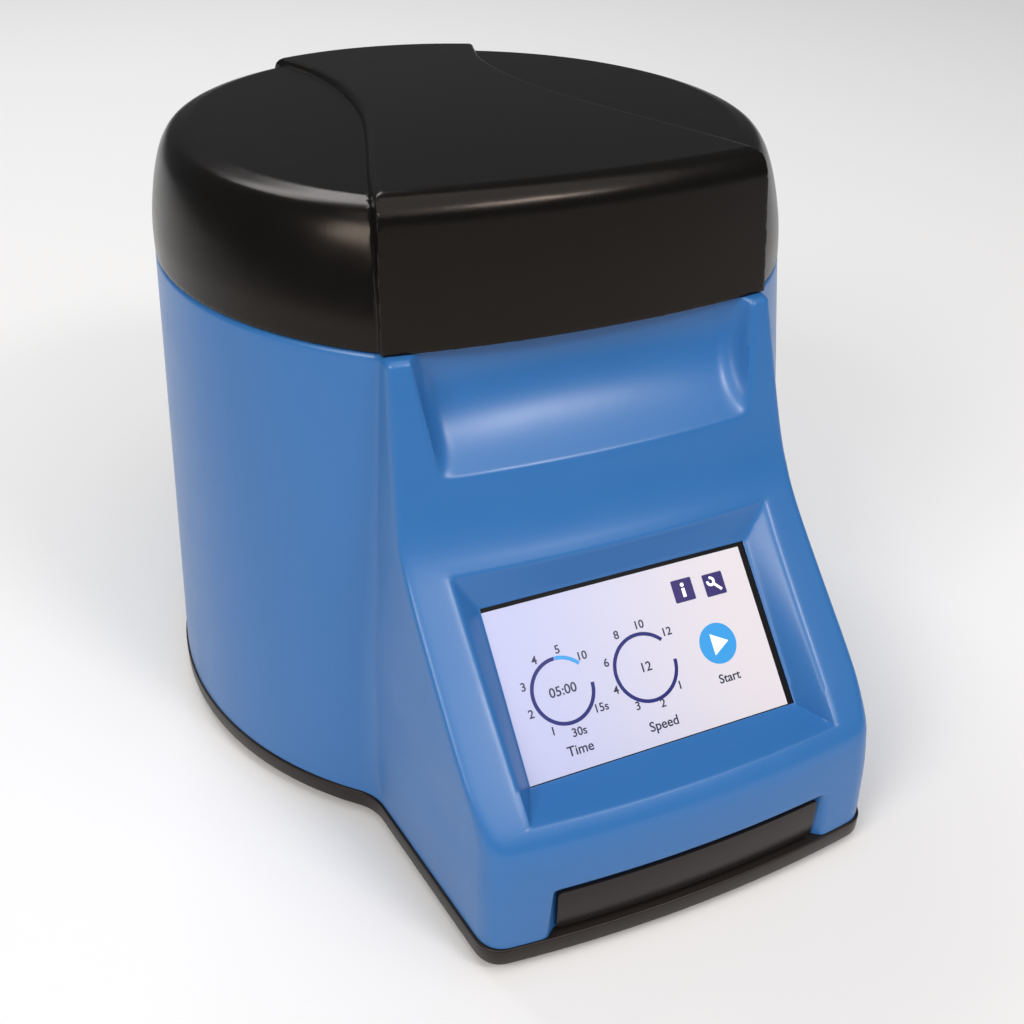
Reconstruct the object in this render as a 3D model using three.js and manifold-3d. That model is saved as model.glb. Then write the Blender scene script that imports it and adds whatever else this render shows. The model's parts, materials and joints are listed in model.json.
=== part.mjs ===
// Bench-top bead-beating tube mixer: a round blue housing with a sloping touch-screen console, a black
// hinged lid, and a motor that wobbles a striker plate under a ring of sample tubes.
// Millimetres, +Z up, the console faces -Y. The assembly is drawn about the drum's own axis and then
// moved along Y, so that the origin is the middle of the footprint on the bench.
import * as THREE from "three";
import { ParametricGeometry } from "three/addons/geometries/ParametricGeometry.js";
import { mergeVertices } from "three/addons/utils/BufferGeometryUtils.js";
import Module from "manifold-3d";

const wasm = await Module();
wasm.setup();

// ---------------------------------------------------------------- driving dimensions
const GAP = 0.3; // clearance between neighbouring pieces
const WALL = 3; // moulded wall of the housing and the lid

// Heights above the underside of the tray
const FOOT_H = 4; // rubber feet below the tray
const TRAY_FLOOR = 3;
const TRAY_RIM = 6; // width of the tray's raised rim
const TRAY_LEDGE = 0.8; // how far the tray stands out past the housing
const HOUSING_Z0 = 8; // lower edge of the housing, on the tray
const HOUSING_TOP = 187.5;
const LID_RIM = 189;

// Drum: a circle that grows and moves forward towards the bench
const DRUM_R_TOP = 127.3;
const DRUM_R_BASE = 140;
const DRUM_SHIFT_BASE = -17;

// Console: the (y, z) line that its front corner follows
const CREASE = [
  [-208.5, HOUSING_Z0],
  [-206, 51],
  [-127, 121.5],
  [-109.5, HOUSING_TOP],
];
const FOLD_R = 7; // round of the fold above the badge
const NECK_R = 24; // hollow round between the slope and the upper wall
const FRONT_BULGE = 5.6; // how far the front stands out at its middle

// Screen: its middle, slope and visible size (a 5 inch display)
const SCREEN = { y: -163.3, z: 79.1, slope: 45.3, w: 110, h: 63.6 };
const BEZEL_TOP_Z = 114.9; // outer edges of the sloped surround
const BEZEL_BOTTOM_Z = 53.6;
const BEZEL_HALF_W = [63.1, 64.9]; // at its bottom and at its top
const WINDOW_RIM = 2.4; // window in the housing beyond the visible screen

// Finger scoop under the front of the lid
const SCOOP_LIP_Z = 147.3;
const SCOOP_BACK_Y = -104;
const SCOOP_HALF_W = [62.2, 67.4]; // at the lip and at the rim
const SCOOP_HOLLOW = 33; // height over which the scoop curves out to its lip
const SCOOP_CURVE = 1.6; // power of that curve

// Badge recess above the tray
const BADGE = { halfW: 54.4, z0: 8.8, z1: 27, depth: 4, setBack: 1.6, thick: 1.4 };

// Lid: the round shoulder's (radius, z) profile, which leans back as it rises
const LID_R = DRUM_R_TOP;
const LID_SHOULDER = [
  [LID_R, LID_RIM], [126.6, 200], [124.4, 212], [121.8, 221], [119, 227], [115, 231.2], [108, 233.5],
];
const LID_LEAN = 0.09; // how far the shoulder's axis moves back per mm of height
const LID_PANEL_Z = 239.5; // raised panel at its front edge
const LID_PANEL_TILT = -0.0185; // the panel falls towards the hinge
const LID_PANEL_CLEAR = 2; // height of the panel's step over the shoulder on the hinge side
const LID_FRONT_Y = -112; // middle of the front face at the rim
const LID_FRONT_R = 443; // plan radius of the front face
const LID_FRONT_LEAN = 0.119; // how far the front face moves back per mm of height
const LID_FRONT_HALF_W = 73.3; // at the top; the block widens by LID_TAPER per mm downwards
const LID_TAPER = 0.00067;
const LID_FRONT_ROUND = 6;
const LID_PANEL_EDGE = [ // half width of the raised panel along Y, from the front to the hinge
  [-116, 73.3], [-98, 73.1], [-77, 68], [-59, 62.5], [-40, 56.3], [-20, 50], [3, 43.5], [22, 40],
  [41, 38], [60, 37.7], [79, 39.5], [92, 42.6], [128, 54],
];

// Chamber and drive
const DECK = { z: 180.5, h: 4, r: 123.4, frontY: -100.5 };
const WELL = { r: 85, wall: 2.5, floorZ: 116, flangeR: 88, flangeH: 1.8, hole: 30, dish: 4, collarH: 9.5 };
const CARRIER = { r: 76, z: 156, h: 9, notchCount: 12, notchR: 5.8, notchAt: 66 };
const JOURNAL_R = 14;
const BEARING_R = 22;
const SHAFT_R = 5;
const WOBBLE_DEG = 2;
const MOTOR = { r: 38, z0: 12, z1: 75 };
const MOTOR_PLATE = { half: 72, h: 5 };
const POST = { at: 62, r: 6 };

// Hinge behind the rim
const HINGE = { y: 134.5, z: 188.2, pinR: 2.5, knuckleR: 6, lidHalf: 25.5, halfW: 46 };

// Rear service pocket, its panel, and what the panel carries
const POCKET = { halfW: 54, z0: 18, z1: 74, y: 101 };
const PANEL_T = 2.5;
const INLET_X = 30;
const FAN = { x: -26, z: 46, half: 25, y0: 86, y1: 100.7, bladeR: 22.5, blades: 7 };

// Solenoid lock behind the scoop
const LOCK = { y: -93, z: 173, boltR: 2.4, tip: 3, x0: 8, x1: 34 };

// ---------------------------------------------------------------- materials
const COLOURS = {
  blue: [0x3f78bd, 0.42, 0],
  black: [0x141414, 0.3, 0],
  darkPlastic: [0x1c1d1f, 0.55, 0],
  rubber: [0x161616, 0.9, 0],
  whitePlastic: [0xdfe2e4, 0.5, 0],
  glass: [0xf1f1f6, 0.08, 0],
  board: [0x1d5b34, 0.6, 0],
  steel: [0xb9bcc0, 0.35, 1],
  aluminium: [0xc9ccd0, 0.4, 1],
};

function material(kind) {
  const [color, roughness, metalness] = COLOURS[kind];
  return new THREE.MeshStandardMaterial({ color, roughness, metalness });
}

// ---------------------------------------------------------------- solids
// A closed geometry as a manifold solid: shared corners are merged and collapsed triangles dropped.
function solid(geometry) {
  const g = geometry.index ? geometry.toNonIndexed() : geometry.clone();
  const bare = new THREE.BufferGeometry().setAttribute("position", g.getAttribute("position"));
  const merged = mergeVertices(bare, 1e-4);
  const index = merged.index.array;
  const triangles = [];
  for (let i = 0; i < index.length; i += 3) {
    const [a, b, c] = [index[i], index[i + 1], index[i + 2]];
    if (a !== b && b !== c && a !== c) triangles.push(a, b, c);
  }
  return new wasm.Manifold(
    new wasm.Mesh({
      numProp: 3,
      vertProperties: merged.attributes.position.array,
      triVerts: new Uint32Array(triangles),
    }),
  );
}

function geometryOf(made) {
  const mesh = made.getMesh();
  const position = new THREE.BufferAttribute(new Float32Array(mesh.vertProperties), 3);
  return new THREE.BufferGeometry()
    .setAttribute("position", position)
    .setIndex(new THREE.BufferAttribute(new Uint32Array(mesh.triVerts), 1));
}

const joined = (...parts) => parts.reduce((a, b) => a.add(b));
const cut = (body, ...tools) => tools.reduce((a, b) => a.subtract(b), body);

// A box from its lowest to its highest corner.
function box(x0, y0, z0, x1, y1, z1) {
  const g = new THREE.BoxGeometry(x1 - x0, y1 - y0, z1 - z0);
  return solid(g.translate((x0 + x1) / 2, (y0 + y1) / 2, (z0 + z1) / 2));
}

// An upright cylinder or cone from z0 to z1.
function rod(r, z0, z1, x = 0, y = 0, sides = 20, rTop = r) {
  const g = new THREE.CylinderGeometry(rTop, r, z1 - z0, sides);
  return solid(g.rotateX(Math.PI / 2).translate(x, y, (z0 + z1) / 2));
}

// A cylinder along X or along Y between two values of that axis.
function rodX(r, x0, x1, y, z, sides = 20) {
  const g = new THREE.CylinderGeometry(r, r, x1 - x0, sides);
  return solid(g.rotateZ(Math.PI / 2).translate((x0 + x1) / 2, y, z));
}

function rodY(r, y0, y1, x, z, sides = 20) {
  return solid(new THREE.CylinderGeometry(r, r, y1 - y0, sides).translate(x, (y0 + y1) / 2, z));
}

// A body turned from (radius, height) points, given anticlockwise and closed on themselves or on the axis.
function turned(points, sides = 36) {
  const profile = points.map(([r, z]) => new THREE.Vector2(r, z));
  return solid(new THREE.LatheGeometry(profile, sides).rotateX(Math.PI / 2));
}

const ring = (rIn, rOut, z0, z1, sides = 36) =>
  cut(rod(rOut, z0, z1, 0, 0, sides), rod(rIn, z0 - 1, z1 + 1, 0, 0, sides));

// A flat outline in XY pulled up from z0 to z1, with an optional rounded edge inside those limits.
function slab(points, z0, z1, bevel = 0) {
  const shape = new THREE.Shape(points.map(([x, y]) => new THREE.Vector2(x, y)));
  const g = new THREE.ExtrudeGeometry(shape, {
    depth: z1 - z0 - 2 * bevel,
    bevelEnabled: bevel > 0,
    bevelSize: bevel,
    bevelOffset: -bevel,
    bevelThickness: bevel,
    bevelSegments: 3,
  });
  return solid(g.translate(0, 0, z0 + bevel));
}

// ---------------------------------------------------------------- housing outline
const lerp = (a, b, t) => a + (b - a) * t;
const clamp01 = (t) => Math.min(1, Math.max(0, t));
const smooth = (t) => clamp01(t) ** 2 * (3 - 2 * clamp01(t));

// The crease's y at height z: straight lines with rounded joints, as a softened piecewise line.
function creaseY(z) {
  const [p0, p1, p2, p3] = CREASE;
  const slopes = [
    [p0, p1],
    [p1, p2],
    [p2, p3],
  ].map(([a, b]) => (b[0] - a[0]) / (b[1] - a[1]));
  const bend = (at, r) => 0.5 * (z - at + Math.hypot(z - at, r) - Math.hypot(p0[1] - at, r) + at - p0[1]);
  return (
    p0[0] +
    slopes[0] * (z - p0[1]) +
    (slopes[1] - slopes[0]) * bend(p1[1], FOLD_R * 0.5) +
    (slopes[2] - slopes[1]) * bend(p2[1], NECK_R * 0.5)
  );
}

// Half width of the console at its crease.
function creaseX(z) {
  const rise = clamp01((z - 124) / (HOUSING_TOP - 124));
  return lerp(80.3, 75.4, rise) - 1.2 * Math.exp(-(((z - 50) / 14) ** 2));
}

// Half widths of the recessed features that share one family of columns: outer edge, then floor edge.
function featureColumns(z) {
  const points = [
    [HOUSING_Z0, 58.8, BADGE.halfW + GAP],
    [BADGE.z1 + 3, 56.6, BADGE.halfW + GAP],
    [BEZEL_BOTTOM_Z - 3, BEZEL_HALF_W[0], SCREEN.w / 2 + 1.6],
    [BEZEL_TOP_Z, BEZEL_HALF_W[1], SCREEN.w / 2 + 1.6],
    [SCOOP_LIP_Z, SCOOP_HALF_W[0], SCOOP_HALF_W[0] - 2.5],
    [HOUSING_TOP, SCOOP_HALF_W[1], SCOOP_HALF_W[1] - 3],
  ];
  const i = Math.min(points.length - 2, Math.max(0, points.findIndex(([top]) => z <= top) - 1));
  const [a, b] = [points[i], points[i + 1]];
  const t = clamp01((z - a[0]) / (b[0] - a[0]));
  return [lerp(a[1], b[1], t), lerp(a[2], b[2], t)];
}

const screenY = (z) => SCREEN.y + (z - SCREEN.z) / Math.tan((SCREEN.slope * Math.PI) / 180);
const SCREEN_RISE = (SCREEN.h / 2 + 1.6) * Math.sin((SCREEN.slope * Math.PI) / 180);

// Plain front surface at x, and the same surface with the scoop, the screen surround and the badge recess.
function plainFrontY(x, z) {
  return creaseY(z) - FRONT_BULGE * (1 - (x / creaseX(z)) ** 2);
}

function frontY(x, z) {
  const plain = plainFrontY(x, z);
  const [outer, floor] = featureColumns(z);
  const side = clamp01((outer - Math.abs(x)) / (outer - floor));
  if (z < BADGE.z1 + 3) {
    const top = clamp01((BADGE.z1 + 3 - z) / 2.4);
    return plain + BADGE.depth * Math.min(side, top);
  }
  if (z < BEZEL_TOP_Z) {
    const bottom = clamp01((z - BEZEL_BOTTOM_Z) / (SCREEN.z - SCREEN_RISE - BEZEL_BOTTOM_Z));
    const top = clamp01((BEZEL_TOP_Z - z) / (BEZEL_TOP_Z - SCREEN.z - SCREEN_RISE));
    return lerp(plain, Math.max(plain, screenY(z)), Math.min(side, bottom, top));
  }
  if (z < SCOOP_LIP_Z) return plain;
  const rise = clamp01((z - SCOOP_LIP_Z) / SCOOP_HOLLOW);
  const hollow = 1 - (1 - rise) ** SCOOP_CURVE;
  return lerp(plain, Math.max(plain, SCOOP_BACK_Y), side * hollow);
}

// Front of the space inside the housing: far enough back to leave a wall behind every recess.
function innerFrontY(z) {
  const behindBadge = CREASE[0][0] + BADGE.depth + WALL - 2;
  const behindScreen = screenY(Math.max(z, SCREEN.z - SCREEN_RISE - 2)) + WALL * 1.45;
  const behindScoop = SCOOP_BACK_Y + WALL;
  const low = smooth((z - BADGE.z1 - 10) / 14);
  const high = smooth((z - SCREEN.z - SCREEN_RISE) / 22);
  return lerp(lerp(behindBadge, behindScreen, low), behindScoop, high);
}

const innerFront = (x, z) => innerFrontY(z);

// One half of the outline at height z, from the back of the drum round to the middle of the front.
// inset moves it inwards, and front gives the front surface's y at an x and a z.
const COUNTS = { arc: 12, fillet: 3, side: 1, corner: 3, land: 1, bevel: 1, floor: 4 };

function halfOutline(z, inset = 0, front = frontY) {
  const t = (z - HOUSING_Z0) / (HOUSING_TOP - HOUSING_Z0);
  const R = lerp(DRUM_R_BASE, DRUM_R_TOP, t) - inset;
  const yc = lerp(DRUM_SHIFT_BASE, 0, t);
  const fx = creaseX(z) - inset;
  const inner = front === innerFront;
  const fy = inner ? innerFrontY(z) : creaseY(z) + inset;
  // The console's side runs back from the crease, leaning out a little.
  const lean = lerp(0.13, 0.08, t);
  const d = new THREE.Vector2(lean, 1).normalize();
  const n = new THREE.Vector2(d.y, -d.x);
  const r = lerp(20, 5, smooth(t * 1.1));
  // Fillet centre: r outside the side line and R + r from the drum's axis.
  const start = new THREE.Vector2(fx + n.x * r, fy + n.y * r - yc);
  const b = start.dot(d);
  const along = -b - Math.sqrt(Math.max(0, b * b - start.lengthSq() + (R + r) ** 2));
  const c = new THREE.Vector2(start.x + d.x * along, start.y + d.y * along);
  const points = [];
  const last = Math.atan2(c.y, c.x);
  for (let i = 0; i <= COUNTS.arc; i++) {
    const a = lerp(Math.PI / 2, last, i / COUNTS.arc);
    points.push([R * Math.cos(a), yc + R * Math.sin(a)]);
  }
  const a0 = last + Math.PI;
  const sideAngle = Math.atan2(-n.y, -n.x);
  const a1 = sideAngle < 0 ? sideAngle + 2 * Math.PI : sideAngle;
  for (let i = 1; i <= COUNTS.fillet; i++) {
    const a = lerp(a0, a1, i / COUNTS.fillet);
    points.push([c.x + r * Math.cos(a), yc + c.y + r * Math.sin(a)]);
  }
  const [sx, sy] = points[points.length - 1];
  // Corner round between the side and the front.
  const corner = Math.min(lerp(9, 2.2, smooth((z - 44) / 24)), Math.max(0.5, (sy - fy) * 0.6));
  const frontAt = (x) => front(x, z) + (inner ? 0 : inset);
  const cornerEnd = fx - corner * 0.9;
  const from = [fx + d.x * corner, fy + d.y * corner];
  for (let i = 1; i <= COUNTS.side; i++) {
    const k = i / COUNTS.side;
    points.push([lerp(sx, from[0], k), lerp(sy, from[1], k)]);
  }
  const to = [cornerEnd, frontAt(cornerEnd)];
  for (let i = 1; i <= COUNTS.corner; i++) {
    const k = i / COUNTS.corner;
    points.push([
      (1 - k) ** 2 * from[0] + 2 * k * (1 - k) * fx + k * k * to[0],
      (1 - k) ** 2 * from[1] + 2 * k * (1 - k) * fy + k * k * to[1],
    ]);
  }
  const [outer, floor] = featureColumns(z);
  const columns = [];
  for (let i = 1; i <= COUNTS.land; i++) columns.push(lerp(cornerEnd, outer - inset, i / COUNTS.land));
  for (let i = 1; i <= COUNTS.bevel; i++) columns.push(lerp(outer, floor, i / COUNTS.bevel) - inset);
  for (let i = 1; i <= COUNTS.floor; i++) columns.push(lerp(floor - inset, 0, i / COUNTS.floor));
  for (const x of columns) points.push([x, frontAt(x)]);
  return points;
}

// The full closed outline as a ring of points, anticlockwise from the back.
function outline(z, inset = 0, front = frontY) {
  const half = halfOutline(z, inset, front);
  const left = half.slice(0, -1).map(([x, y]) => [-x, y]);
  return [z, [...left, ...half.slice(1).reverse()]];
}

// A closed body through a stack of [z, outline] rings, closed at each end by a fan to a point on the middle
// line that sees the whole outline.
function lofted(rings, middleY, topY = middleY) {
  const n = rings[0][1].length;
  const rows = rings.length;
  const surface = (u, v, target) => {
    const j = Math.round(v * (rows + 1)) - 1;
    const row = Math.min(rows - 1, Math.max(0, j));
    const [z, points] = rings[row];
    const [x, y] = points[Math.round(u * n) % n];
    if (j < 0) target.set(0, middleY, z);
    else if (j >= rows) target.set(0, topY, z);
    else target.set(x, y, z);
  };
  return solid(new ParametricGeometry(surface, n, rows + 1));
}

const STAR_Y = -112; // an outline at the tray or the screen can be seen whole from here on the middle line
const RIM_STAR_Y = -60; // and the rim's outline, which the scoop cuts into, from here

// ---------------------------------------------------------------- nodes
const group = new THREE.Group();
const assembly = new THREE.Group();
group.add(assembly);

function node(name, made, kind) {
  const mesh = new THREE.Mesh(geometryOf(made), material(kind));
  mesh.name = name;
  assembly.add(mesh);
}

// A piece drawn flat on the screen's own plane (x across, y up the slope), moved to where the screen is.
function onScreen(piece) {
  const turn = new THREE.Matrix4().makeRotationX((SCREEN.slope * Math.PI) / 180);
  return solid(geometryOf(piece).applyMatrix4(turn).translate(0, SCREEN.y, SCREEN.z));
}

const screenBox = (edge, z0, z1) =>
  box(-SCREEN.w / 2 - edge, -SCREEN.h / 2 - edge, z0, SCREEN.w / 2 + edge, SCREEN.h / 2 + edge, z1);

// A piece turned about the wobble axis, which crosses the drum's axis at the carrier's middle height.
const WOBBLE_Z = CARRIER.z + CARRIER.h / 2;

function wobbled(piece) {
  const turn = new THREE.Matrix4().makeRotationY((WOBBLE_DEG * Math.PI) / 180);
  return solid(geometryOf(piece).translate(0, 0, -WOBBLE_Z).applyMatrix4(turn).translate(0, 0, WOBBLE_Z));
}

// Where the tray's screws go: [x, y]
const TRAY_SCREWS = [
  [-72, -197],
  [72, -197],
  [-124, 28],
  [124, 28],
];
const HINGE_SCREWS_LID = [-14, 14];
const HINGE_SCREWS_BODY = [-36, 36];
const HINGE_SCREW_Z = { lid: 204, body: 171 };

function housingShell() {
  const round = 1.8; // softened top rim
  const rings = [
    HOUSING_Z0, BADGE.z1 + 0.6, BADGE.z1 + 3, 40, 46, 49, 51, BEZEL_BOTTOM_Z, SCREEN.z - SCREEN_RISE,
    79, SCREEN.z + SCREEN_RISE, 108, BEZEL_TOP_Z, 119, 124, 130, 138, SCOOP_LIP_Z, 148.6, 151, 156, 163,
    SCOOP_LIP_Z + SCOOP_HOLLOW, HOUSING_TOP - round,
  ].map((z) => outline(z));
  rings.push(outline(HOUSING_TOP - round * 0.3, round * 0.3));
  rings.push(outline(HOUSING_TOP, round));
  const outer = lofted(rings, STAR_Y, RIM_STAR_Y);
  const hollowHeights = [HOUSING_Z0 - 1, 34, 45, 55, 79, 102, 113, 124, 150, HOUSING_TOP + 1];
  const hollow = lofted(hollowHeights.map((z) => outline(z, WALL, innerFront)), -90);
  const frame = box(
    -POCKET.halfW - WALL, POCKET.y, POCKET.z0 - WALL, POCKET.halfW + WALL, 150, POCKET.z1 + WALL,
  ).intersect(outer);
  const pocket = box(-POCKET.halfW, 80, POCKET.z0, POCKET.halfW, 150, POCKET.z1);
  const window = onScreen(screenBox(WINDOW_RIM, -12, 3));
  const hingeBores = HINGE_SCREWS_BODY.map((x) => rodY(1.9, 100, 140, x, HINGE_SCREW_Z.body, 10));
  return cut(joined(cut(outer, hollow), frame), pocket, window, ...hingeBores);
}

// The threaded blocks bonded inside the housing's wall, which the tray's screws go up into.
function trayStandoff([x, y]) {
  const inside = lofted([HOUSING_Z0 - 1, 40].map((z) => outline(z, WALL + GAP, innerFront)), -90);
  return cut(rod(6, HOUSING_Z0, 24, x, y, 12).intersect(inside), rod(2.3, 0, 20, x, y, 10));
}

function baseTray() {
  const edge = (inset) => outline(HOUSING_Z0, inset, plainFrontY)[1];
  const outer = lofted([[0, edge(0.2)], [1, edge(-TRAY_LEDGE)], [HOUSING_Z0 - GAP, edge(-TRAY_LEDGE)]], STAR_Y);
  const pan = lofted([[TRAY_FLOOR, edge(TRAY_RIM)], [HOUSING_Z0 + 1, edge(TRAY_RIM)]], STAR_Y);
  const bores = TRAY_SCREWS.map(([x, y]) => rod(2.3, -1, 9, x, y, 10));
  const heads = TRAY_SCREWS.map(([x, y]) => rod(4.4, -1, 2, x, y, 12));
  return cut(outer, pan, ...bores, ...heads);
}

function nameBadge() {
  const steps = 8;
  const middle = (BADGE.z0 + BADGE.z1) / 2;
  const xs = Array.from({ length: steps + 1 }, (_, i) => lerp(-BADGE.halfW, BADGE.halfW, i / steps));
  const front = xs.map((x) => [x, plainFrontY(x, middle) + BADGE.setBack]);
  const back = front.map(([x, y]) => [x, y + BADGE.thick]).reverse();
  return slab([...front, ...back], BADGE.z0, BADGE.z1);
}

node("housing_shell", housingShell(), "blue");
node("base_tray", baseTray(), "darkPlastic");
node("name_badge", nameBadge(), "black");

const FEET = { front_left: [-62, -188], front_right: [62, -188], rear_left: [-88, 72], rear_right: [88, 72] };
for (const [where, [x, y]] of Object.entries(FEET)) {
  node("foot_" + where, rod(8, -FOOT_H, -GAP, x, y, 20, 10), "rubber");
}
TRAY_SCREWS.forEach(([x, y], i) => {
  const screw = joined(rod(4, 0.2, 1.8, x, y, 12), rod(1.9, 1, 18, x, y, 8));
  node("tray_screw_" + (i + 1), screw, "steel");
  node("tray_standoff_" + (i + 1), trayStandoff([x, y]), "steel");
});

// ---- screen stack, drawn on the screen's plane
node("screen_gasket", onScreen(cut(screenBox(2.1, -2.4, -GAP), screenBox(1, -4, 2))), "rubber");
node("touch_glass", onScreen(screenBox(0.7, -2.2, -0.2)), "glass");
node("display_module", onScreen(screenBox(0.5, -7.4, -2.6)), "darkPlastic");
const bracketHoles = [-62, 62].map((x) => rod(1.6, -12, -6, x, 0, 10));
node("display_bracket", onScreen(cut(box(-68, -30, -9.8, 68, 30, -7.8), ...bracketHoles)), "aluminium");
const boardParts = [box(-60, -28, -12.4, 60, 28, -10.8), box(-30, -12, -16, -8, 10, -12.2)];
boardParts.push(box(14, -20, -18, 22, 18, -12.2), box(-52, -22, -20, -40, -8, -12.2));
node("control_board", onScreen(joined(...boardParts)), "board");

// ---- deck and chamber
function deckPlate() {
  const plate = rod(DECK.r, DECK.z, DECK.z + DECK.h, 0, 0, 48);
  const front = box(-150, -150, 170, 150, DECK.frontY, 200);
  const lockNotch = box(-4.5, -110, 170, 4.5, -85.6, 200);
  return cut(plate, front, lockNotch, rod(WELL.r + GAP, 170, 200, 0, 0, 40));
}

// The sleeve that hangs from the deck by its flange.
function chamberWell() {
  const flangeZ = DECK.z + DECK.h + GAP;
  const inside = WELL.r - WELL.wall;
  return turned(
    [
      [inside, WELL.floorZ], [WELL.r, WELL.floorZ], [WELL.r, flangeZ], [WELL.flangeR, flangeZ],
      [WELL.flangeR, flangeZ + WELL.flangeH], [inside, flangeZ + WELL.flangeH], [inside, WELL.floorZ],
    ],
    40,
  );
}

// The dished floor pressed into the sleeve, with a collar round the hole that the drive comes up through.
function wellFloor() {
  const outside = WELL.r - WELL.wall - GAP;
  const top = WELL.floorZ + WELL.wall;
  const collar = WELL.hole + WELL.wall;
  return turned(
    [
      [WELL.hole, WELL.floorZ], [outside, WELL.floorZ], [outside, top + WELL.dish], [outside - WELL.dish, top],
      [collar, top], [collar, top + WELL.collarH], [WELL.hole, top + WELL.collarH], [WELL.hole, WELL.floorZ],
    ],
    40,
  );
}

node("deck_plate", deckPlate(), "darkPlastic");
node("chamber_well", chamberWell(), "aluminium");
node("well_floor", wellFloor(), "aluminium");

// ---- motor on its posts
const plateZ = MOTOR.z1 + GAP;
const postSpots = [-1, 1].flatMap((sx) => [-1, 1].map((sy) => [sx * POST.at, sy * POST.at]));
const plateTop = plateZ + MOTOR_PLATE.h;
const motorBody = joined(rod(MOTOR.r, MOTOR.z0, MOTOR.z1, 0, 0, 32), rod(MOTOR.r - 8, 6, 14, 0, 0, 24));
node("motor_body", cut(motorBody, rod(SHAFT_R + GAP, 45, 90)), "darkPlastic");
node(
  "motor_plate",
  cut(
    box(-MOTOR_PLATE.half, -MOTOR_PLATE.half, plateZ, MOTOR_PLATE.half, MOTOR_PLATE.half, plateTop),
    rod(13, 60, 100),
  ),
  "steel",
);
node("shaft_bearing", ring(SHAFT_R + GAP, 13 - GAP, plateZ, plateTop, 24), "steel");
postSpots.forEach(([x, y], i) => {
  node("motor_post_" + (i + 1), rod(POST.r, TRAY_FLOOR + GAP, MOTOR.z1, x, y, 12), "steel");
});

// ---- turning group: shaft, hub with a tilted journal, nut
const hubFoot = rod(12, 136, WOBBLE_Z - 10, 0, 0, 24);
const journalZ = WOBBLE_Z - 9;
const shoulder = rod(16, journalZ - 4, journalZ, 0, 0, 24);
const journal = wobbled(joined(shoulder, rod(JOURNAL_R, journalZ - 1, journalZ + 20)));
node("drive_shaft", rod(SHAFT_R, 50, 150, 0, 0, 16), "steel");
node("drive_hub", cut(joined(hubFoot, journal), rod(SHAFT_R + GAP, 130, 150 + GAP, 0, 0, 16)), "aluminium");
node("hub_nut", wobbled(rod(16, journalZ + 20 + GAP, journalZ + 25, 0, 0, 6)), "steel");

// ---- tube carrier, kept from turning by a pair of magnets
function tubeCarrier() {
  const top = CARRIER.z + CARRIER.h;
  const disc = rod(CARRIER.r, CARRIER.z, top, 0, 0, 48);
  const notches = Array.from({ length: CARRIER.notchCount }, (_, i) => {
    const slot = joined(
      rod(CARRIER.notchR, CARRIER.z - 1, top + 1, CARRIER.notchAt, 0, 16),
      box(CARRIER.notchAt, -CARRIER.notchR + 1, CARRIER.z - 1, CARRIER.r + 5, CARRIER.notchR - 1, top + 1),
    );
    const turn = new THREE.Matrix4().makeRotationZ((i * 2 * Math.PI) / CARRIER.notchCount);
    return solid(geometryOf(slot).applyMatrix4(turn));
  });
  return wobbled(cut(disc, rod(BEARING_R + GAP, 100, 200, 0, 0, 32), ...notches));
}

const magnetAngle = Math.PI / CARRIER.notchCount;
const magnetX = 64 * Math.cos(magnetAngle);
const magnetY = 64 * Math.sin(magnetAngle);
node("carrier_bearing", wobbled(ring(JOURNAL_R + GAP, BEARING_R, journalZ + GAP, journalZ + 19, 32)), "steel");
node("tube_carrier", tubeCarrier(), "whitePlastic");
node("carrier_magnet", wobbled(rod(5, CARRIER.z - 6, CARRIER.z - GAP, magnetX, magnetY, 16)), "steel");
node("well_magnet", rod(5, WELL.floorZ + WELL.wall + GAP, CARRIER.z - 14, magnetX, magnetY, 16), "steel");

// ---- power electronics
const bracketSteel = joined(box(-114.3, -45, 3.3, -112.3, 35, 62), box(-114.3, -45, 3.3, -92, 35, 5.3));
node("power_bracket", bracketSteel, "aluminium");
const powerParts = [box(-112, -42, 9, -110.4, 32, 60), box(-111, -30, 16, -92, -6, 40)];
powerParts.push(box(-111, 4, 18, -98, 24, 52));
node("power_board", joined(...powerParts), "board");

// ---- rear panel, inlet, fuse drawer, switch and fan
const panelY = [POCKET.y + GAP, POCKET.y + GAP + PANEL_T];
const inletX = [INLET_X - 13, INLET_X + 13];

function rearPanel() {
  const edge = POCKET.halfW - GAP;
  const plate = box(-edge, panelY[0], POCKET.z0 + GAP, edge, panelY[1], POCKET.z1 - GAP);
  const inletHole = box(inletX[0] - GAP, 90, 24 - GAP, inletX[1] + GAP, 120, 68 + GAP);
  const slots = [28, 34, 40, 46, 52, 58].map((z) => box(FAN.x - 18, 90, z, FAN.x + 18, 120, z + 3));
  return cut(plate, inletHole, ...slots);
}

function inletBody() {
  const front = panelY[1] + GAP;
  const flange = box(inletX[0] - 3, front, 22, inletX[1] + 3, front + 3, 70);
  const body = box(inletX[0], 82, 24, inletX[1], front + 1, 68);
  const socket = box(INLET_X - 11, 88, 27, INLET_X + 11, 120, 45);
  const drawer = box(INLET_X - 11, 85, 48.5, INLET_X + 11, 120, 56.5);
  const rocker = box(INLET_X - 8.4, 92, 59.3, INLET_X + 8.4, 120, 67.7);
  const blades = [-6, 0, 6].map((x) => box(INLET_X + x - 1, 87, 34, INLET_X + x + 1, 99, 38));
  return joined(cut(joined(flange, body), socket, drawer, rocker), ...blades);
}

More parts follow.
